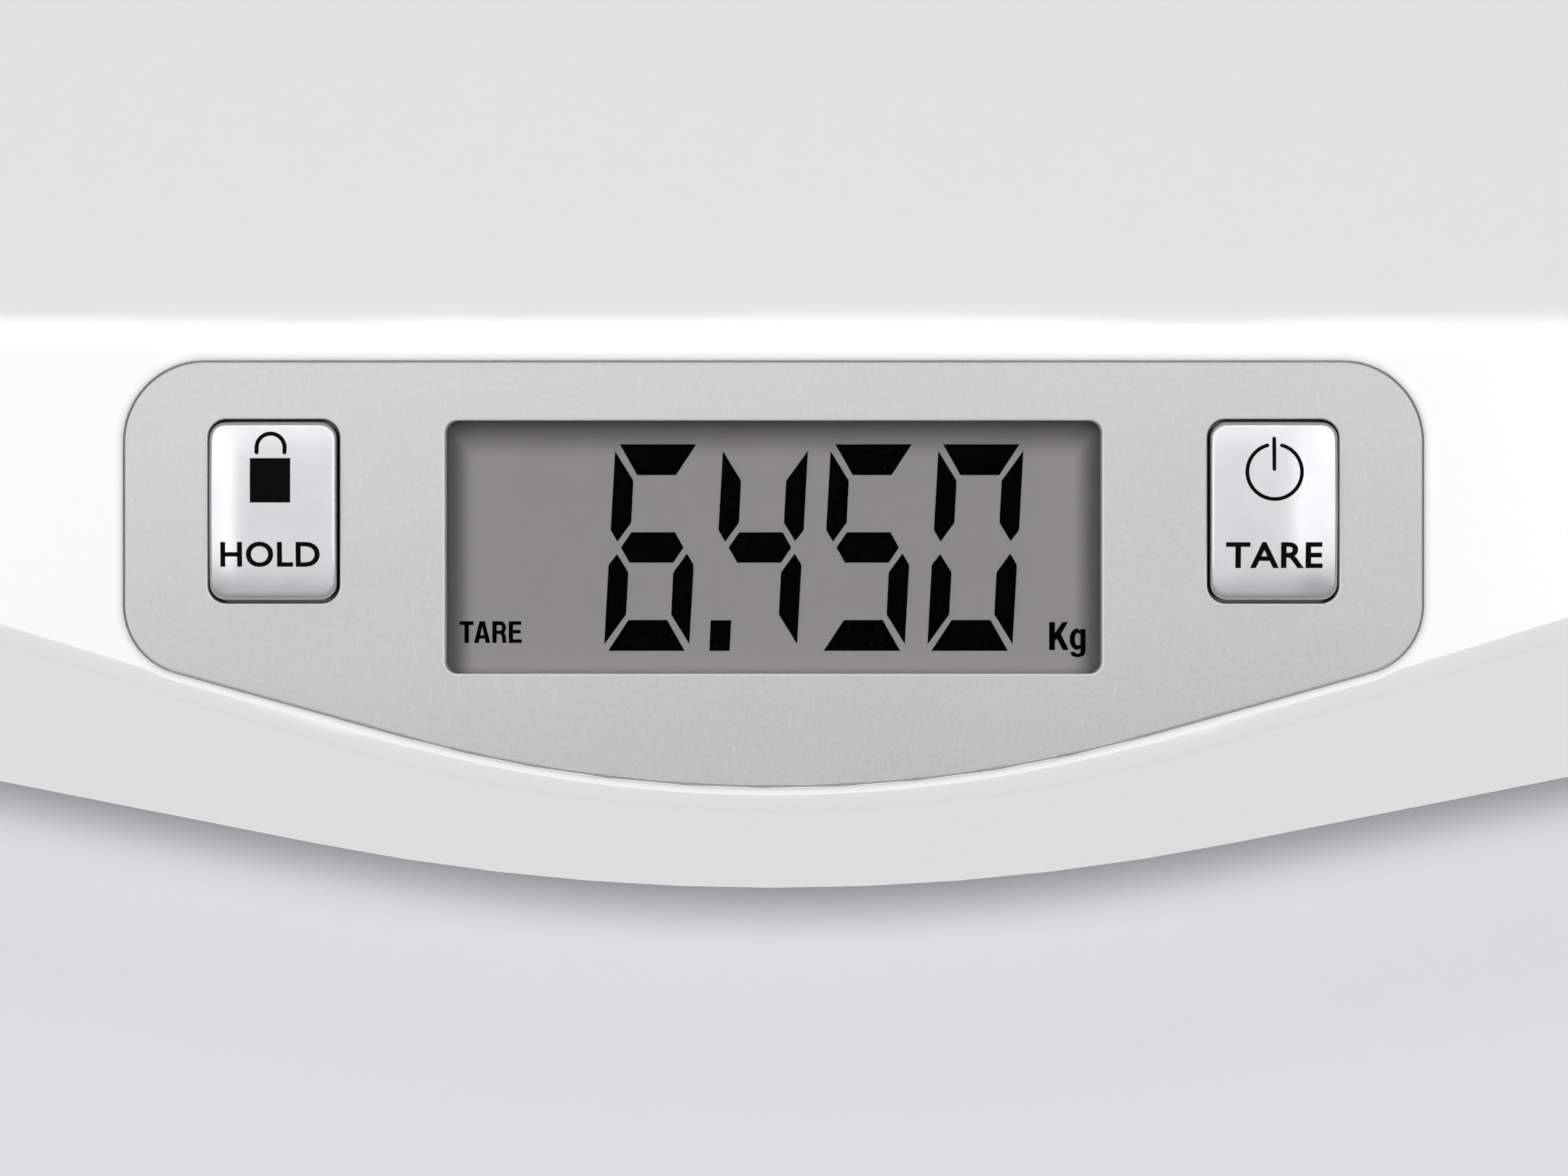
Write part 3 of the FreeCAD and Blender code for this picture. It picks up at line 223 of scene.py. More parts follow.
def keyLacquer():
    # Silver lacquer on the face of a key: bright where it faces a lamp; its sides below the label
    # are painted near black, a painted shade for the dark gap round the key
    lacquerAndGapShade = {"light": "#B7B8B9", "dark": "#ADAEAF", "bareAndGapShade": "#0D0D0F", "from": -0.5, "full": -0.1, "metallic": 0.35}
    tree, place = startMaterial("silverLacquer")
    height = consoleMillimetres(tree, place)[2]
    cloud = addNode(tree, "TexNoise", {"Vector": place, "Scale": perMillimetre(6.0)})
    flake = addNode(tree, "TexNoise", {"Vector": place, "Scale": perMillimetre(0.25), "Roughness": 0.7})
    tone = addNode(tree, "Math", {0: flake, 1: 0.5, 2: cloud}, operation="MULTIPLY_ADD")
    tone = addNode(tree, "MapRange", {"Value": tone, "From Min": 0.45, "From Max": 1.05})
    face = addNode(tree, "Mix", {0: tone, 6: linear(lacquerAndGapShade["light"]), 7: linear(lacquerAndGapShade["dark"])}, 2,
                   data_type="RGBA")
    # painted shade: below the label the key's sides turn near black, for the dark gap round the key
    unshadedFace = addNode(tree, "MapRange", {"Value": height, "From Min": lacquerAndGapShade["from"], "From Max": lacquerAndGapShade["full"]})
    finishMaterial(tree, {
        "Base Color": addNode(tree, "Mix", {0: unshadedFace, 6: linear(lacquerAndGapShade["bareAndGapShade"]), 7: face}, 2, data_type="RGBA"),
        "Metallic": addNode(tree, "Math", {0: unshadedFace, 1: lacquerAndGapShade["metallic"]}, operation="MULTIPLY"),
        "Roughness": addNode(tree, "MapRange", {"Value": flake, "To Min": 0.14, "To Max": 0.18}),
        "Normal": addNode(tree, "Bump", {"Height": flake, "Distance": 0.002 / 1000}),
    })


keyLacquer()


def blackInk(name, colour, roughness, level):
    # Printed film: flat black with the slightest unevenness of the layer
    tree, place = startMaterial(name)
    speck = addNode(tree, "TexNoise", {"Vector": place, "Scale": perMillimetre(0.4)})
    finishMaterial(tree, {
        "Base Color": addNode(tree, "Mix", {0: speck, 6: linear(colour), 7: linear("#000000")}, 2,
                              data_type="RGBA"),
        "Roughness": addNode(tree, "MapRange", {
            "Value": speck, "To Min": roughness - 0.05, "To Max": roughness + 0.05}),
        "Specular IOR Level": level,
    })


blackInk("crystalBlack", "#040404", 0.8, 0.0)
blackInk("padPrintInk", "#060607", 0.6, 0.04)


def crystalPanel():
    # Reflective liquid crystal: flat grey film, in shade under the edge of the window on three sides
    shade = {"light": "#969594", "dark": "#929190", "shaded": "#2A2826", "depth": 0.62,
             "sides": (36.1, 38.9), "rear": (10.45, 14.25)}  # where the shade starts and is full
    tree, place = startMaterial("crystalGrey")
    u, v, w = consoleMillimetres(tree, place)
    reaches = []
    for value, (start, full) in ((addNode(tree, "Math", {0: u}, operation="ABSOLUTE"), shade["sides"]),
                                 (v, shade["rear"])):
        reaches.append(addNode(tree, "MapRange", {"Value": value, "From Min": start, "From Max": full},
                               interpolation_type="SMOOTHSTEP"))
    deepest = addNode(tree, "Math", {0: reaches[0], 1: reaches[1]}, operation="MAXIMUM")
    deepest = addNode(tree, "Math", {0: deepest, 1: shade["depth"]}, operation="MULTIPLY")
    speck = addNode(tree, "TexNoise", {"Vector": place, "Scale": perMillimetre(0.3)})
    film = addNode(tree, "Mix", {0: speck, 6: linear(shade["light"]), 7: linear(shade["dark"])}, 2,
                   data_type="RGBA")
    finishMaterial(tree, {
        "Base Color": addNode(tree, "Mix", {0: deepest, 6: film, 7: linear(shade["shaded"])}, 2,
                              data_type="RGBA"),
        "Roughness": 0.55,
        "Specular IOR Level": 0.15,
    })


crystalPanel()


def clearWindow():
    # Coated acrylic: almost no reflection seen head on, more at a low angle
    tree = startMaterial("coatedAcrylic")[0]
    edge = addNode(tree, "Fresnel", {"IOR": 1.04})
    through = addNode(tree, "BsdfTransparent", {"Color": linear("#FCFCFC")})
    gloss = addNode(tree, "BsdfGlossy", {"Roughness": 0.04})
    mix = addNode(tree, "MixShader", {0: edge, 1: through, 2: gloss})
    addNode(tree, "OutputMaterial", {"Surface": mix})


clearWindow()


def softRubber(name, light, dark, roughness):
    # Moulded rubber or vinyl: matte, a little dusty, with no sharp highlight
    tree, place = startMaterial(name)
    dust = addNode(tree, "TexNoise", {
        "Vector": place, "Scale": perMillimetre(5.0), "Detail": 4.0, "Roughness": 0.6})
    grain = addNode(tree, "TexNoise", {"Vector": place, "Scale": perMillimetre(0.5)})
    finishMaterial(tree, {
        "Base Color": addNode(tree, "Mix", {0: dust, 6: linear(dark), 7: linear(light)}, 2, data_type="RGBA"),
        "Roughness": addNode(tree, "MapRange", {
            "Value": grain, "To Min": roughness - 0.06, "To Max": roughness + 0.06}),
        "Specular IOR Level": 0.35,
        "Normal": addNode(tree, "Bump", {"Height": grain, "Distance": 0.02 / 1000}),
    })


softRubber("greyRubber", "#8A8C8F", "#77797C", 0.8)
softRubber("whiteVinyl", "#DDDBD5", "#CFCDC7", 0.48)
softRubber("redVinyl", "#B5231C", "#9C1D17", 0.48)
softRubber("blackVinyl", "#242425", "#171718", 0.48)


def contactStrip():
    # Conductive elastomer: pink silicone with hair-fine carbon layers across it, drawn coarser here
    tree, place = startMaterial("layeredSilicone")
    bands = addNode(tree, "TexWave", {"Vector": place, "Scale": perMillimetre(2.0)}, "Fac", bands_direction="X")
    layers = addNode(tree, "MapRange", {"Value": bands, "From Min": 0.4, "From Max": 0.6})
    finishMaterial(tree, {
        "Base Color": addNode(tree, "Mix", {0: layers, 6: linear("#C9A7A4"), 7: linear("#3A3335")}, 2,
                              data_type="RGBA"),
        "Roughness": 0.6,
    })


contactStrip()


def platedMetal(name, light, dark, roughness, grain):
    # Plated steel: bright, with the rolling or drawing marks of the steel showing faintly through
    tree, place = startMaterial(name)
    cloud = addNode(tree, "TexNoise", {"Vector": place, "Scale": perMillimetre(4.0), "Detail": 3.0})
    marks = addNode(tree, "TexNoise", {"Vector": place, "Scale": perMillimetre(grain)})
    finishMaterial(tree, {
        "Base Color": addNode(tree, "Mix", {0: cloud, 6: linear(light), 7: linear(dark)}, 2, data_type="RGBA"),
        "Metallic": 1.0,
        "Roughness": addNode(tree, "MapRange", {
            "Value": marks, "To Min": roughness - 0.07, "To Max": roughness + 0.09}),
        "Normal": addNode(tree, "Bump", {"Height": marks, "Distance": 0.003 / 1000}),
    })


platedMetal("zincPlate", "#C9CCD0", "#B3B7BD", 0.32, 0.5)
platedMetal("nickelSteel", "#C4C3BE", "#AFAEA9", 0.3, 0.7)
platedMetal("nickelPlate", "#D3D1CA", "#BFBDB6", 0.24, 0.4)


def circuitBoard():
    # Glass epoxy laminate: green solder mask, paler over the copper tracks
    tree, place = startMaterial("solderMask")
    tracks = addNode(tree, "TexBrick", {
        "Vector": place, "Scale": perMillimetre(8.0), "Mortar Size": 0.03,
        "Color1": linear("#1C5A37"), "Color2": linear("#1A5333"), "Mortar": linear("#2F7A4C"),
    })
    finishMaterial(tree, {"Base Color": tracks, "Roughness": 0.3})


circuitBoard()


def batteryJacket():
    # Zinc cell: a plain dark printed film shrunk round the can, with the bare metal at both ends
    jacket = {"film": "#2B3A4E", "band": "#A9ADB3", "can": "#C6C5C0", "bandFrom": 11.0, "halfLength": 23.6}
    tree, place = startMaterial("shrunkFilm")
    x = addNode(tree, "SeparateXYZ", {0: place})
    along = addNode(tree, "Math", {0: x, 1: 1000.0}, operation="MULTIPLY")
    along = addNode(tree, "Math", {0: along}, operation="ABSOLUTE")
    bareAndGapShade = addNode(tree, "Math", {0: along, 1: jacket["halfLength"]}, operation="GREATER_THAN")
    band = addNode(tree, "Math", {0: along, 1: jacket["bandFrom"]}, operation="GREATER_THAN")
    film = addNode(tree, "Mix", {0: band, 6: linear(jacket["film"]), 7: linear(jacket["band"])}, 2,
                   data_type="RGBA")
    wear = addNode(tree, "TexNoise", {"Vector": place, "Scale": perMillimetre(3.0), "Detail": 3.0})
    finishMaterial(tree, {
        "Base Color": addNode(tree, "Mix", {0: bareAndGapShade, 6: film, 7: linear(jacket["can"])}, 2, data_type="RGBA"),
        "Metallic": bareAndGapShade,
        "Roughness": addNode(tree, "MapRange", {"Value": wear, "To Min": 0.26, "To Max": 0.38}),
    })


batteryJacket()

finishes = {
    "shell_white": "polishedAbs",
    "cover_grey": "sparkErodedAbs",
    "label_silver": "satinAluminium",
    "cap_silver": "silverLacquer",
    "lens_clear": "coatedAcrylic",
    "panel_grey": "crystalGrey",
    "holder_dark": "blackAbs",
    "strip_rubber": "layeredSilicone",
    "board_green": "solderMask",
    "chip_black": "epoxyDrop",
    "connector_white": "ivoryNylon",
    "key_black": "blackNylon",
    "screw_steel": "zincPlate",
    "foot_rubber": "greyRubber",
    "cup_grey": "greyAcetal",
    "cell_steel": "nickelSteel",
    "retainer_white": "naturalAbs",
    "battery_jacket": "shrunkFilm",
    "contact_nickel": "nickelPlate",
    "lead_white": "whiteVinyl",
    "lead_red": "redVinyl",
    "lead_black": "blackVinyl",
}
for node in nodes.values():
    for cadSlot in node.material_slots:
        cadSlot.material = materials[finishes[cadSlot.material.name]]
print("materials:", len(materials))


# Meshes from code


def newPiece(name, mesh, body, finish, stands=()):
    # stands lists the CAD nodes that this piece shows in their place
    piece = addObject(name, mesh)
    mesh.materials.append(materials[finish])
    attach(piece, body)
    if stands:
        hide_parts(*stands)


def meshFrom(made, sharpAngle=40.0):
    bmesh.ops.recalc_face_normals(made, faces=made.faces)
    mesh = bpy.data.meshes.new("made")
    made.to_mesh(mesh)
    made.free()
    mesh.shade_smooth()
    mesh.set_sharp_from_angle(angle=math.radians(sharpAngle))
    return mesh


def meshOf(data):
    # The mesh that a curve or a text makes
    thing = addObject("curve", data)
    mesh = bpy.data.meshes.new_from_object(thing.evaluated_get(bpy.context.evaluated_depsgraph_get()))
    bpy.data.objects.remove(thing)
    return mesh


def joinRings(made, lower, upper):
    for k in range(len(lower)):
        made.faces.new((lower[k - 1], lower[k], upper[k], upper[k - 1]))


def addRings(made, rings):
    # A closed solid through rings of equal count, with both ends filled
    corners = [[made.verts.new(point) for point in ring] for ring in rings]
    for lower, upper in zip(corners, corners[1:]):
        joinRings(made, lower, upper)
    made.faces.new(corners[0][::-1])
    made.faces.new(corners[-1])


def addFrame(made, rings):
    # A closed frame: the last ring is joined to the first, so nothing is filled
    corners = [[made.verts.new(point) for point in ring] for ring in rings]
    for k, ring in enumerate(corners):
        joinRings(made, corners[k - 1], ring)
    return corners


def addPlate(made, shape, thickness, surface):
    # A flat closed solid from one outline
    addRings(made, [[surface(x, y, level) for x, y in shape] for level in (-thickness, 0)])


def arcPath(centre, reachX, reachY, start, end, steps):
    # Points on part of an oval, from one angle to another
    turns = [math.radians(start + (end - start) * k / steps) for k in range(steps + 1)]
    return [(centre[0] + reachX * math.cos(turn), centre[1] + reachY * math.sin(turn)) for turn in turns]


def roundedRectangle(halfWidth, halfHeight, radius, sideSteps=1, cornerSteps=8):
    points = []
    middles = [(halfWidth - radius, halfHeight - radius), (radius - halfWidth, halfHeight - radius),
               (radius - halfWidth, radius - halfHeight), (halfWidth - radius, radius - halfHeight)]
    for k, (x, y) in enumerate(middles):
        for step in range(cornerSteps + 1):
            turn = math.pi / 2 * (k + step / cornerSteps)
            points.append((x + radius * math.cos(turn), y + radius * math.sin(turn)))
        x, y = points[-1]
        nextX, nextY = middles[(k + 1) % 4]
        turn = math.pi / 2 * (k + 1)
        nextX, nextY = nextX + radius * math.cos(turn), nextY + radius * math.sin(turn)
        for step in range(1, sideSteps):
            share = step / sideSteps
            points.append((x + (nextX - x) * share, y + (nextY - y) * share))
    return points


def insetRings(size, profile, surface):
    # One rounded rectangle, drawn in by each inset of the profile at its level
    return [[surface(x, y, level) for x, y in roundedRectangle(*(length - inset for length in size))]
            for inset, level in profile]


# Display window: a clear plate with eased edges

window = {"size": (42.0, 18.0, 0.8), "top": -3.2, "bottom": -4.1, "edge": 0.15}

profile = [(window["edge"], window["bottom"]), (0.0, window["bottom"] + window["edge"]),
           (0.0, window["top"] - window["edge"]), (window["edge"], window["top"])]
made = bmesh.new()
addRings(made, insetRings(window["size"], profile, onConsole))
newPiece("display_window", meshFrom(made), "scale_body", "coatedAcrylic", ["display_lens"])


# Figures and words on the display, dark on the panel

figures = {
    "level": -4.17,
    "thickness": 0.03,
    "shown": [("6", -14.7), ("4", -1.65), ("5", 11.4), ("0", 24.45)],
    "middle": -0.02,
    "point": [(-7.63, -8.82), (-5.11, -8.82), (-5.33, -12.55), (-7.79, -12.55)],
    "segmentsOf": {"0": "abcdef", "4": "bcfg", "5": "acdfg", "6": "acdefg"},
}
segmentShapes = {
    "a": [(-3.94, 12.52), (5.35, 12.52), (2.89, 8.77), (-1.82, 8.77)],
    "f": [(-4.5, 11.71), (-2.28, 8.1), (-2.54, 3.01), (-4.21, 0.71), (-5.04, 2.12)],
    "e": [(-4.26, -0.77), (-2.89, -3.01), (-3.17, -8.1), (-5.82, -11.75), (-5.3, -2.1)],
    "g": [(-3.8, 0.0), (-2.52, 1.86), (2.76, 1.86), (3.8, 0.0), (2.54, -1.84), (-2.74, -1.84)],
}
for opposite, source in (("d", "a"), ("c", "f"), ("b", "e")):
    segmentShapes[opposite] = [(-x, -y) for x, y in segmentShapes[source]]


def onPanel(x, y, z):
    return onConsole(x, y, figures["level"] + z)


made = bmesh.new()
addPlate(made, figures["point"], figures["thickness"], onPanel)
for figure, middleX in figures["shown"]:
    for segment in figures["segmentsOf"][figure]:
        shape = [(middleX + x, figures["middle"] + y) for x, y in segmentShapes[segment]]
        addPlate(made, shape, figures["thickness"], onPanel)
newPiece("display_figures", meshFrom(made), "scale_body", "crystalBlack")


def bend(centre, outer, inner, start, end):
    # A stroke along part of an oval
    return arcPath(centre, *outer, start, end, 14) + arcPath(centre, *inner, start, end, 14)[::-1]


panelLetters = {
    # strokes of bold narrow letters, in shares of a letter's width and of the capitals' height
    "T": [[(0, 1), (1, 1), (1, 0.82), (0, 0.82)], [(0.34, 0.82), (0.67, 0.82), (0.67, 0), (0.34, 0)]],
    "A": [[(0, 0), (0.29, 0), (0.5, 0.76), (0.5, 1), (0.34, 1)],
          [(1, 0), (0.71, 0), (0.5, 0.76), (0.5, 1), (0.66, 1)],
          [(0.345, 0.2), (0.655, 0.2), (0.61, 0.36), (0.39, 0.36)]],
    "R": [[(0, 0), (0.3, 0), (0.3, 1), (0, 1)], [(0.3, 0.82), (0.56, 0.82), (0.56, 1), (0.3, 1)],
          [(0.3, 0.41), (0.56, 0.41), (0.56, 0.57), (0.3, 0.57)],
          bend((0.56, 0.705), (0.38, 0.295), (0.11, 0.115), 90, -90),
          [(0.56, 0.41), (0.82, 0.47), (0.93, 0.33), (0.94, 0.1), (1, 0), (0.68, 0), (0.65, 0.3)]],
    "E": [[(0, 0), (0.33, 0), (0.33, 1), (0, 1)], [(0.33, 0.83), (0.96, 0.83), (0.96, 1), (0.33, 1)],
          [(0.33, 0.44), (0.92, 0.44), (0.92, 0.6), (0.33, 0.6)],
          [(0.33, 0), (1, 0), (1, 0.17), (0.33, 0.17)]],
    "K": [[(0, 0), (0.3, 0), (0.3, 1), (0, 1)],
          [(0.3, 0.62), (0.67, 1), (0.96, 1), (0.6, 0.57), (1, 0), (0.69, 0), (0.4, 0.4), (0.3, 0.31)]],
    "g": [bend((0.5, 0.39), (0.5, 0.39), (0.17, 0.225), 90, 270),
          [(0.5, 0), (0.67, 0.06), (0.67, 0.2), (0.5, 0.165)],
          [(0.5, 0.615), (0.67, 0.56), (0.67, 0.68), (0.5, 0.78)],
          [(0.67, -0.06), (1, -0.06), (1, 0.75), (0.67, 0.75)],
          [(0.67, -0.06), (0.64, -0.11), (0.5, -0.14), (0.37, -0.11), (0.34, -0.06), (0.02, -0.07),
           (0.1, -0.18), (0.3, -0.245), (0.52, -0.257), (0.76, -0.235), (0.93, -0.16), (1, -0.06)]],
}
panelWords = [
    # foot and head of the capitals, then each letter with its left and right
    (-11.58, -8.94, [("T", -38.04, -36.34), ("A", -36.3, -34.3), ("R", -34.07, -32.3), ("E", -32.08, -30.5)]),
    (-12.44, -9.04, [("K", 33.37, 35.77), ("g", 35.85, 37.8)]),
]
made = bmesh.new()
for foot, head, letters in panelWords:
    for letter, left, right in letters:
        for stroke in panelLetters[letter]:
            shape = [(left + (right - left) * x, foot + (head - foot) * y) for x, y in stroke]
            addPlate(made, shape, figures["thickness"], onPanel)
newPiece("display_words", meshFrom(made), "scale_body", "crystalBlack")
print("display: figures and words")


# Console label: a sheet with eased rims round its openings

label = {
    "halfWidth": 78.1, "top": 22.4, "bottom": -28.9, "bow": 166.0, "flank": 15.6,
    "topRadius": 9.8, "sideRadius": 8.5, "cornerSteps": 24,
    "gap": 0.26, "low": -0.7, "high": -0.2, "rim": 0.2, "rimSteps": 2, "sharp": 12.0,
    "window": (39.5, 15.25, 1.5), "key": (7.95, 11.1, 2.2), "keyOffset": 60.0, "keyRise": 4.3,
}


def labelOutline(inset):
    # Straight top and sides, round corners and a bowed lower edge, drawn in by an inset
    side, top = label["sideRadius"] - inset, label["topRadius"] - inset
    bow, flank = label["bow"] - inset, math.radians(label["flank"])
    apex = label["bottom"] + inset - bow * (1 / math.cos(flank) - 1)
    x, y = label["halfWidth"] - inset, label["top"] - inset
    shoulder = apex + x * math.tan(flank)
    corners = [Vector(point) for point in ((0, apex), (x, shoulder), (x, y), (-x, y), (-x, shoulder))]
    points = []
    for k, radius in enumerate((bow, side, top, top, side)):
        corner, before, after = corners[k], corners[k - 1], corners[(k + 1) % 5]
        back, ahead = (before - corner).normalized(), (after - corner).normalized()
        half = back.angle(ahead) / 2
        centre = corner + (back + ahead).normalized() * radius / math.sin(half)
        start = corner + back * radius / math.tan(half) - centre
        turn = start.angle_signed(corner + ahead * radius / math.tan(half) - centre)
        for step in range(label["cornerSteps"] + 1):
            points.append(centre + Matrix.Rotation(-turn * step / label["cornerSteps"], 2) @ start)
    return [tuple(point) for point in points]


def labelSheet(outlines):
    # A filled flat curve with holes, whose bevel eases both faces of every edge
    data = bpy.data.curves.new("sheet", "CURVE")
    data.dimensions = "2D"
    data.fill_mode = "BOTH"
    data.extrude = (label["high"] - label["low"]) / 2 - label["rim"]
    data.bevel_depth = label["rim"]
    data.bevel_resolution = label["rimSteps"]
    for outline in outlines:
        spline = data.splines.new("POLY")
        spline.points.add(len(outline) - 1)
        for point, (x, y) in zip(spline.points, outline):
            point.co = (x, y, 0, 1)
        spline.use_cyclic_u = True
    mesh = meshOf(data)
    made = bmesh.new()
    made.from_mesh(mesh)
    bpy.data.meshes.remove(mesh)
    bmesh.ops.remove_doubles(made, verts=made.verts, dist=0.001)
    for vertex in made.verts:
        vertex.co = onConsole(vertex.co.x, vertex.co.y, vertex.co.z + (label["low"] + label["high"]) / 2)
    return made


def onKey(side):
    # Places on the left key for -1 and on the right key for 1
    def place(a, b, level):
        return onConsole(side * label["keyOffset"] + a, label["keyRise"] + b, level)
    return place


outlines = [labelOutline(label["gap"] + label["rim"])]
outlines.append(roundedRectangle(*(length + label["rim"] for length in label["window"])))
for side in (-1, 1):
    hole = roundedRectangle(*(length + label["rim"] for length in label["key"]))
    outlines.append([(x + side * label["keyOffset"], y + label["keyRise"]) for x, y in hole])
mesh = meshFrom(labelSheet(outlines), label["sharp"])
newPiece("console_sheet", mesh, "scale_body", "satinAluminium", ["console_label"])

# Moulded edge of the label's recess: its soft shade, and the dark gap beside the sheet
recessEdge = {
    # inset into the recess, height over the console, depth of shade
    "profile": [(0.24, -0.66, 1.0), (0.24, -0.6, 1.0), (0.04, -0.6, 0.95), (0.02, -0.04, 0.7),
                (-0.02, 0.01, 0.55), (-0.15, 0.014, 0.4), (-0.4, 0.014, 0.16), (-0.9, 0.012, 0.0),
                (-0.92, -0.05, 0.0), (-0.2, -0.66, 1.0)],
    "light": "#F2F2F2", "dark": "#EFEFEF", "shaded": "#747475",
}


def edgePlastic():
    # The shell's polished plastic, in shade towards the bottom of its edge
    tree, place = startMaterial("shadedAbs")
    shade = addNode(tree, "Attribute", output="Fac", attribute_name="shade")
    speck = addNode(tree, "TexNoise", {"Vector": place, "Scale": perMillimetre(0.3), "Detail": 1.0})
    plastic = addNode(tree, "Mix", {0: speck, 6: linear(recessEdge["light"]), 7: linear(recessEdge["dark"])}, 2,
                      data_type="RGBA")
    finishMaterial(tree, {
        "Base Color": addNode(tree, "Mix", {0: shade, 6: plastic, 7: linear(recessEdge["shaded"])}, 2,
                              data_type="RGBA"),
        "Roughness": 0.21,
        "IOR": 1.53,
        "Specular IOR Level": 0.95,
    })


edgePlastic()
made = bmesh.new()
depths = made.verts.layers.float.new("shade")
rings = [[onConsole(x, y, level) for x, y in labelOutline(inset)] for inset, level, depth in recessEdge["profile"]]
for ring, (inset, level, depth) in zip(addFrame(made, rings), recessEdge["profile"]):
    for vertex in ring:
        vertex[depths] = depth
newPiece("recess_edge", meshFrom(made), "scale_body", "shadedAbs")

# Near-black linings of the key openings: painted shade for the dark gaps round the keys
keyWell = {"top": -0.75, "bottom": -3.3, "clear": 0.03, "wall": 0.08}
profile = [(0.0, keyWell["bottom"]), (0.0, keyWell["top"]), (keyWell["wall"], keyWell["top"]),
           (keyWell["wall"], keyWell["bottom"])]
made = bmesh.new()
for side in (-1, 1):
    addFrame(made, insetRings([length - keyWell["clear"] for length in label["key"]], profile, onKey(side)))
newPiece("key_gap_shade_lining", meshFrom(made), "scale_body", "blackAbs")
print("label:", len(outlines) - 1, "openings, recess edge and key linings")


# Keys: pillowed caps with a flange and a stem, and their printed signs

keyCap = {
    "halfWidth": 7.58, "halfHeight": 10.62, "radius": 1.9, "sideSteps": 8,
    "top": 1.6, "crownAcross": 45.0, "crownAlong": 110.0, "crownMiddle": 2.0,
    "shoulder": 0.45, "shoulderDrop": 0.13, "fullness": 2.0, "skirtEase": 0.1,
    "edgeInsets": [0.02, 0.06, 0.11, 0.18, 0.26, 0.36, 0.47, 0.9],
    "innerShares": [0.93, 0.84, 0.72, 0.57, 0.4, 0.22, 0.08],
    "flangeTop": -3.4, "flangeBottom": -4.6, "flange": (9.15, 12.3, 2.6), "stem": 2.5, "stemBottom": -5.2,
}


def capHeight(a, b):
    # A crowned top that rolls over along its outline
    radius = keyCap["radius"]
    x, y = abs(a) - keyCap["halfWidth"] + radius, abs(b) - keyCap["halfHeight"] + radius
    inside = radius - math.hypot(max(x, 0), max(y, 0)) - min(max(x, y), 0)
    fall = max(0, 1 - inside / keyCap["shoulder"]) ** keyCap["fullness"]
    crown = a ** 2 / (2 * keyCap["crownAcross"]) + (b - keyCap["crownMiddle"]) ** 2 / (2 * keyCap["crownAlong"])
    return keyCap["top"] - crown - keyCap["shoulderDrop"] * fall


def capRings(place):
    size, sideSteps = (keyCap["halfWidth"], keyCap["halfHeight"], keyCap["radius"]), keyCap["sideSteps"]
    outline = roundedRectangle(*size, sideSteps)
    flange = roundedRectangle(*keyCap["flange"], sideSteps)
    stem = [Vector(point).normalized() * keyCap["stem"] for point in outline]
    rings = [[place(a, b, level) for a, b in points] for points, level in (
        (stem, keyCap["stemBottom"]), (stem, keyCap["flangeBottom"]), (flange, keyCap["flangeBottom"]),
        (flange, keyCap["flangeTop"]), (outline, keyCap["flangeTop"]))]
    rings.append([place(a, b, capHeight(a, b) - keyCap["skirtEase"]) for a, b in outline])
    for inset in keyCap["edgeInsets"]:
        ring = roundedRectangle(*(length - inset for length in size), sideSteps)
        rings.append([place(a, b, capHeight(a, b)) for a, b in ring])
    for share in keyCap["innerShares"]:
        rings.append([place(a * share, b * share, capHeight(a * share, b * share)) for a, b in ring])
    return rings


signs = {
    "padlock": {"body": (-0.21, 1.0, 6.32), "bodyWidth": 4.84, "middle": (-0.155, 7.575), "radius": 1.677,
                "legEnd": 7.01, "stroke": 0.5},
    "power": {"middle": (-0.05, 4.69), "radius": 3.27, "stroke": 0.46, "gap": 15.2, "bar": (-0.1, 5.01, 8.67)},
    # words with their lower left and upper right corners
    "hold": ("HOLD", (-6.24, -6.72), (5.68, -3.67)),
    "tare": ("TARE", (-5.82, -6.84), (5.76, -3.72)),
    "heavier": 0.022, "spacing": 1.06, "curveSteps": 5, "cut": 0.5, "lift": 0.02, "depth": 0.07,
}


def addWord(made, text, low, high, surface):
    # A word in the plain built-in letters, fitted between two corners, and cut into small cells so
    # that it follows the key's curved top
    data = bpy.data.curves.new("word", "FONT")
    data.body = text
    data.extrude = 0.5
    data.offset = signs["heavier"]
    data.space_character = signs["spacing"]
    data.resolution_u = signs["curveSteps"]
    mesh = meshOf(data)
    word = bmesh.new()
    word.from_mesh(mesh)
    bmesh.ops.remove_doubles(word, verts=word.verts, dist=0.0005)
    xs = [vertex.co.x for vertex in word.verts]
    ys = [vertex.co.y for vertex in word.verts]
    for vertex in word.verts:
        vertex.co.x = low[0] + (high[0] - low[0]) * (vertex.co.x - min(xs)) / (max(xs) - min(xs))
        vertex.co.y = low[1] + (high[1] - low[1]) * (vertex.co.y - min(ys)) / (max(ys) - min(ys))
    for axis in (0, 1):
        across = Vector((1 - axis, axis, 0))
        for k in range(1, math.ceil((high[axis] - low[axis]) / signs["cut"])):
            bmesh.ops.bisect_plane(word, geom=word.verts[:] + word.edges[:] + word.faces[:], dist=1e-6,
                                   plane_co=across * (low[axis] + k * signs["cut"]), plane_no=across)
    for vertex in word.verts:
        vertex.co = surface(vertex.co.x, vertex.co.y, 0 if vertex.co.z > 0 else -signs["depth"])
    fitted = bpy.data.meshes.new("word")
    word.to_mesh(fitted)
    word.free()
    made.from_mesh(fitted)
    bpy.data.meshes.remove(fitted)
    bpy.data.meshes.remove(mesh)


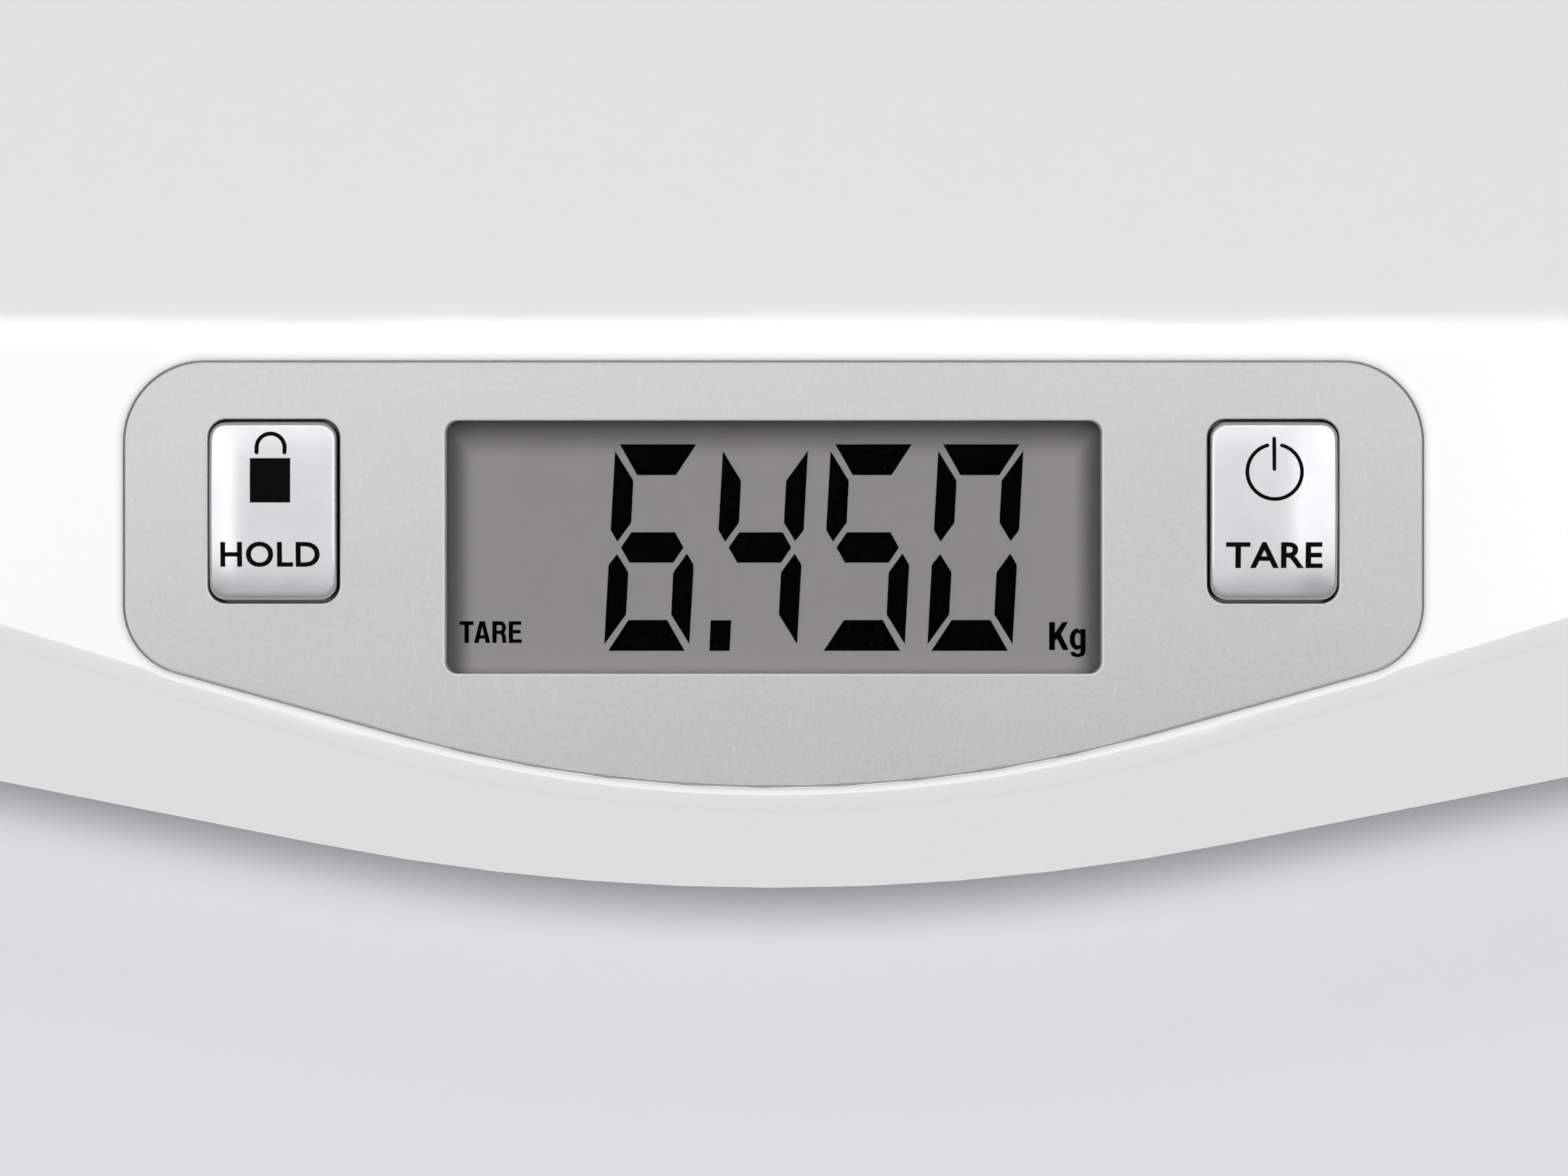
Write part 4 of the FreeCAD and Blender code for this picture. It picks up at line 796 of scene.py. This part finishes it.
def addRibbon(made, path, width, acrossSteps, surface, roundEnds=True):
    # A printed stroke along a path, with its ends rounded off in a few narrowing sections
    points = [Vector(point) for point in path]
    sections = []
    for k, point in enumerate(points):
        direction = (points[min(k + 1, len(points) - 1)] - points[max(k - 1, 0)]).normalized()
        sections.append((point, direction, width / 2))
    if roundEnds:
        for end, sign in ((0, -1), (-1, 1)):
            point, direction, reach = sections[end]
            for turn in (30, 60, 80):
                angle = math.radians(turn)
                extra = (point + direction * sign * reach * math.sin(angle), direction, reach * math.cos(angle))
                if end:
                    sections.append(extra)
                else:
                    sections.insert(0, extra)
    rings = []
    for point, direction, reach in sections:
        normal = Vector((-direction.y, direction.x))
        offsets = [reach * (2 * k / acrossSteps - 1) for k in range(acrossSteps + 1)]
        upper = [surface(*(point + normal * offset), 0) for offset in offsets]
        lower = [surface(*(point + normal * offset), -signs["depth"]) for offset in offsets]
        rings.append(upper + lower[::-1])
    addRings(made, rings)


def uprightPath(x, low, high, steps):
    return [Vector((x, low)).lerp(Vector((x, high)), k / steps) for k in range(steps + 1)]


def addPadlock(made, surface):
    lock = signs["padlock"]
    addRibbon(made, uprightPath(*lock["body"], 5), lock["bodyWidth"], 5, surface, False)
    left, right = lock["middle"][0] - lock["radius"], lock["middle"][0] + lock["radius"]
    shackle = arcPath(lock["middle"], lock["radius"], lock["radius"], 180, 0, 24)
    addRibbon(made, [(left, lock["legEnd"])] + shackle + [(right, lock["legEnd"])], lock["stroke"], 1, surface)


def addPowerSign(made, surface):
    power = signs["power"]
    start, end = 90 + power["gap"], 450 - power["gap"]
    ring = arcPath(power["middle"], power["radius"], power["radius"], start, end, 60)
    addRibbon(made, ring, power["stroke"], 1, surface)
    addRibbon(made, uprightPath(*power["bar"], 6), power["stroke"], 1, surface)


for name, side, addSign in (("hold", -1, addPadlock), ("tare", 1, addPowerSign)):
    place = onKey(side)
    made = bmesh.new()
    addRings(made, capRings(place))
    newPiece(name + "_key_cap", meshFrom(made), name + "_button", "silverLacquer", [name + "_button"])

    def printed(a, b, z):
        return place(a, b, capHeight(a, b) + signs["lift"] + z)

    made = bmesh.new()
    addSign(made, printed)
    addWord(made, *signs[name], printed)
    newPiece(name + "_key_print", meshFrom(made), name + "_button", "padPrintInk")
print("keys: caps and signs")


# Screws that hold the cover: pan heads with a cross recess, seen from below

coverScrew = {
    "places": [(x * side, y) for side in (-1, 1) for x, y in ((225, -70), (225, 110), (102, -112), (102, 125))],
    "seat": 12.0, "head": 3.0, "headHeight": 2.2, "shank": 1.4, "length": 18.0, "tip": 1.5, "tipShare": 0.4,
    "crossLength": 1.75, "crossWidth": 0.42, "crossDepth": 1.3, "crossTaper": 0.7,
    "dome": [(0.72, 0.02), (0.86, 0.18), (0.96, 0.55), (1.0, 1.1)],  # share of the head's radius, height
    "sharp": 30.0,
}


def crossOutline(length, width, angles):
    # The cross's edge at each angle
    points = []
    for angle in angles:
        c, s = abs(math.cos(angle)), abs(math.sin(angle))
        reach = max(min(alongX / max(c, 1e-6), alongY / max(s, 1e-6))
                    for alongX, alongY in ((length, width), (width, length)))
        points.append((reach * math.cos(angle), reach * math.sin(angle)))
    return points


def screwRings(x, y):
    screw = coverScrew
    corner = math.degrees(math.atan2(screw["crossWidth"], screw["crossLength"]))
    angles = [math.radians(90 * k + angle) for k in range(4) for angle in (0, corner, 30, 45, 60, 90 - corner)]
    cross = crossOutline(screw["crossLength"], screw["crossWidth"], angles)
    low, seat, end = screw["seat"] - screw["headHeight"], screw["seat"], screw["seat"] + screw["length"]
    profile = [([(a * screw["crossTaper"], b * screw["crossTaper"]) for a, b in cross], low + screw["crossDepth"]),
               (cross, low + screw["dome"][0][1])]
    rounds = [(screw["head"] * share, low + height) for share, height in screw["dome"]]
    rounds += [(screw["head"], seat), (screw["shank"], seat), (screw["shank"], end - screw["tip"]),
               (screw["shank"] * screw["tipShare"], end)]
    for radius, level in rounds:
        profile.append(([(radius * math.cos(angle), radius * math.sin(angle)) for angle in angles], level))
    return [[onFloor(x + a, y + b, level) for a, b in points] for points, level in profile]


made = bmesh.new()
for x, y in coverScrew["places"]:
    addRings(made, screwRings(x, y))
mesh = meshFrom(made, coverScrew["sharp"])
newPiece("cover_screw_set", mesh, "scale_body", "zincPlate", ["cover_screws"])


# Foot pads: rubber discs with grooves that give grip

footPad = {
    "places": {"front_left": (-190, -62), "front_right": (190, -62),
               "rear_left": (-190, 100), "rear_right": (190, 100)},
    "radius": 17.0, "thickness": 2.4, "ease": 0.8, "backEase": 0.2, "aroundSteps": 64,
    "dimple": (1.6, 2.0), "grooves": [4.0, 7.5, 11.0, 14.2], "groove": 0.55, "depth": 0.5,
}


def padRings(x, y):
    floor, edge = footPad["dimple"]
    groove, depth = footPad["groove"], footPad["depth"]
    profile = [(floor, depth), (edge, 0.0)]
    for radius in footPad["grooves"]:
        profile += [(radius - groove, 0.0), (radius - groove * 0.5, depth), (radius + groove * 0.5, depth),
                    (radius + groove, 0.0)]
    ease, radius = footPad["ease"], footPad["radius"]
    for turn in (0, 30, 60, 90):
        angle = math.radians(turn)
        profile.append((radius - ease + ease * math.sin(angle), ease - ease * math.cos(angle)))
    profile += [(radius, footPad["thickness"] - footPad["backEase"]),
                (radius - footPad["backEase"], footPad["thickness"])]
    turns = [math.tau * k / footPad["aroundSteps"] for k in range(footPad["aroundSteps"])]
    return [[onFloor(x + ring * math.cos(turn), y + ring * math.sin(turn), level) for turn in turns]
            for ring, level in profile]


for corner, (x, y) in footPad["places"].items():
    made = bmesh.new()
    addRings(made, padRings(x, y))
    newPiece("rubber_foot_" + corner, meshFrom(made), "foot_" + corner, "greyRubber",
             ["foot_pad_" + corner])


# Grip ribs on the battery door, at its opening end

doorGrip = {
    "count": 6, "first": 15.0, "pitch": 2.4, "face": 8.0, "size": (13.0, 0.6, 0.58),
    "profile": [(0.35, -0.45), (0.12, -0.36), (0.0, 0.0), (0.0, 0.3)],  # inset, height over the face
}

made = bmesh.new()
for k in range(doorGrip["count"]):
    def onDoor(a, b, level):
        return onFloor(a, doorGrip["first"] + k * doorGrip["pitch"] + b, doorGrip["face"] + level)

    addRings(made, insetRings(doorGrip["size"], doorGrip["profile"], onDoor))
newPiece("battery_door_grip", meshFrom(made), "battery_door", "sparkErodedAbs")
print("underside: screws, feet and door grip")


# Stage and light

stage = {"floor": "#E7E6EB", "floorSize": 8000.0, "sky": 0.07, "horizon": 0.93, "hazeFrom": 0.2, "hazeTo": 0.5}


def paleCard():
    # Plain pale card; from below it lets the view and the lower lamp through
    tree = startMaterial("paleCard")[0]
    card = addNode(tree, "BsdfDiffuse", {"Color": linear(stage["floor"])})
    through = addNode(tree, "BsdfTransparent")
    under = addNode(tree, "Math", {
        0: addNode(tree, "NewGeometry", output="Backfacing"),
        1: addNode(tree, "LightPath", output="Is Shadow Ray"),
    }, operation="MAXIMUM")
    addNode(tree, "OutputMaterial", {"Surface": addNode(tree, "MixShader", {0: under, 1: card, 2: through})})


paleCard()
half = stage["floorSize"] / 2000
mesh = bpy.data.meshes.new("floor")
mesh.from_pydata([(-half, -half, 0), (half, -half, 0), (half, half, 0), (-half, half, 0)], [], [(0, 1, 2, 3)])
mesh.materials.append(materials["paleCard"])
addObject("floor", mesh)

lights = {
    # Each faces the middle of the console, turned so many degrees to the right and to the front of
    # the console's own square direction; the first size is across, the second from front to rear
    "front_softbox": {"right": -3.5, "front": 1.5, "distance": 1300.0, "size": (1040.0, 470.0), "watts": 3.5},
    "top_softbox": {"right": 0.0, "front": -17.0, "distance": 1300.0, "size": (2200.0, 365.0), "watts": 9.1},
    "left_softbox": {"right": -36.5, "front": 0.0, "distance": 1300.0, "size": (624.0, 400.0), "watts": 2.9},
    "right_softbox": {"right": 32.5, "front": 0.0, "distance": 1300.0, "size": (721.0, 400.0), "watts": 3.3},
    "rear_softbox": {"right": 0.0, "front": -74.0, "distance": 1300.0, "size": (900.0, 500.0), "watts": 1.2},
    "lower_softbox": {"right": 0.0, "front": 188.0, "distance": 800.0, "size": (900.0, 600.0), "watts": 1.6},
}
for name, light in lights.items():
    data = bpy.data.lights.new(name, "AREA")
    data.shape = "RECTANGLE"
    data.size, data.size_y = (side / 1000 for side in light["size"])
    data.energy = light["watts"]
    lamp = addObject(name, data)
    lamp.visible_camera = False
    toFront = Matrix.Rotation(math.radians(light["front"]), 4, "X")
    toRight = Matrix.Rotation(math.radians(light["right"]), 4, "Y")
    lamp.matrix_world = consolePlace @ toFront @ toRight @ Matrix.Translation((0, 0, light["distance"] / 1000))

world = bpy.data.worlds.new("studio")
bpy.context.scene.world = world
world.use_nodes = True
tree = world.node_tree
tree.nodes.clear()
# A dim studio overhead, and a pale backdrop at the horizon for what is seen directly, mirrored or
# through glass
rays = addNode(tree, "LightPath").node.outputs
seen = addNode(tree, "Math", {0: rays["Is Camera Ray"], 1: rays["Is Glossy Ray"]}, operation="MAXIMUM")
seen = addNode(tree, "Math", {0: seen, 1: rays["Is Transmission Ray"]}, operation="MAXIMUM")
height = addNode(tree, "SeparateXYZ", {0: addNode(tree, "TexCoord", output="Generated")}, 2)
low = addNode(tree, "MapRange", {
    "Value": height, "From Min": stage["hazeFrom"], "From Max": stage["hazeTo"], "To Min": 1.0, "To Max": 0.0,
}, interpolation_type="SMOOTHSTEP")
pale = addNode(tree, "Math", {0: seen, 1: low}, operation="MULTIPLY")
strength = addNode(tree, "MapRange", {"Value": pale, "To Min": stage["sky"], "To Max": stage["horizon"]})
addNode(tree, "OutputWorld", {
    "Surface": addNode(tree, "Background", {"Color": linear("#FFFFFF"), "Strength": strength})})
bpy.context.scene.view_settings.view_transform = "Standard"
print("light:", len(lights), "lamps")
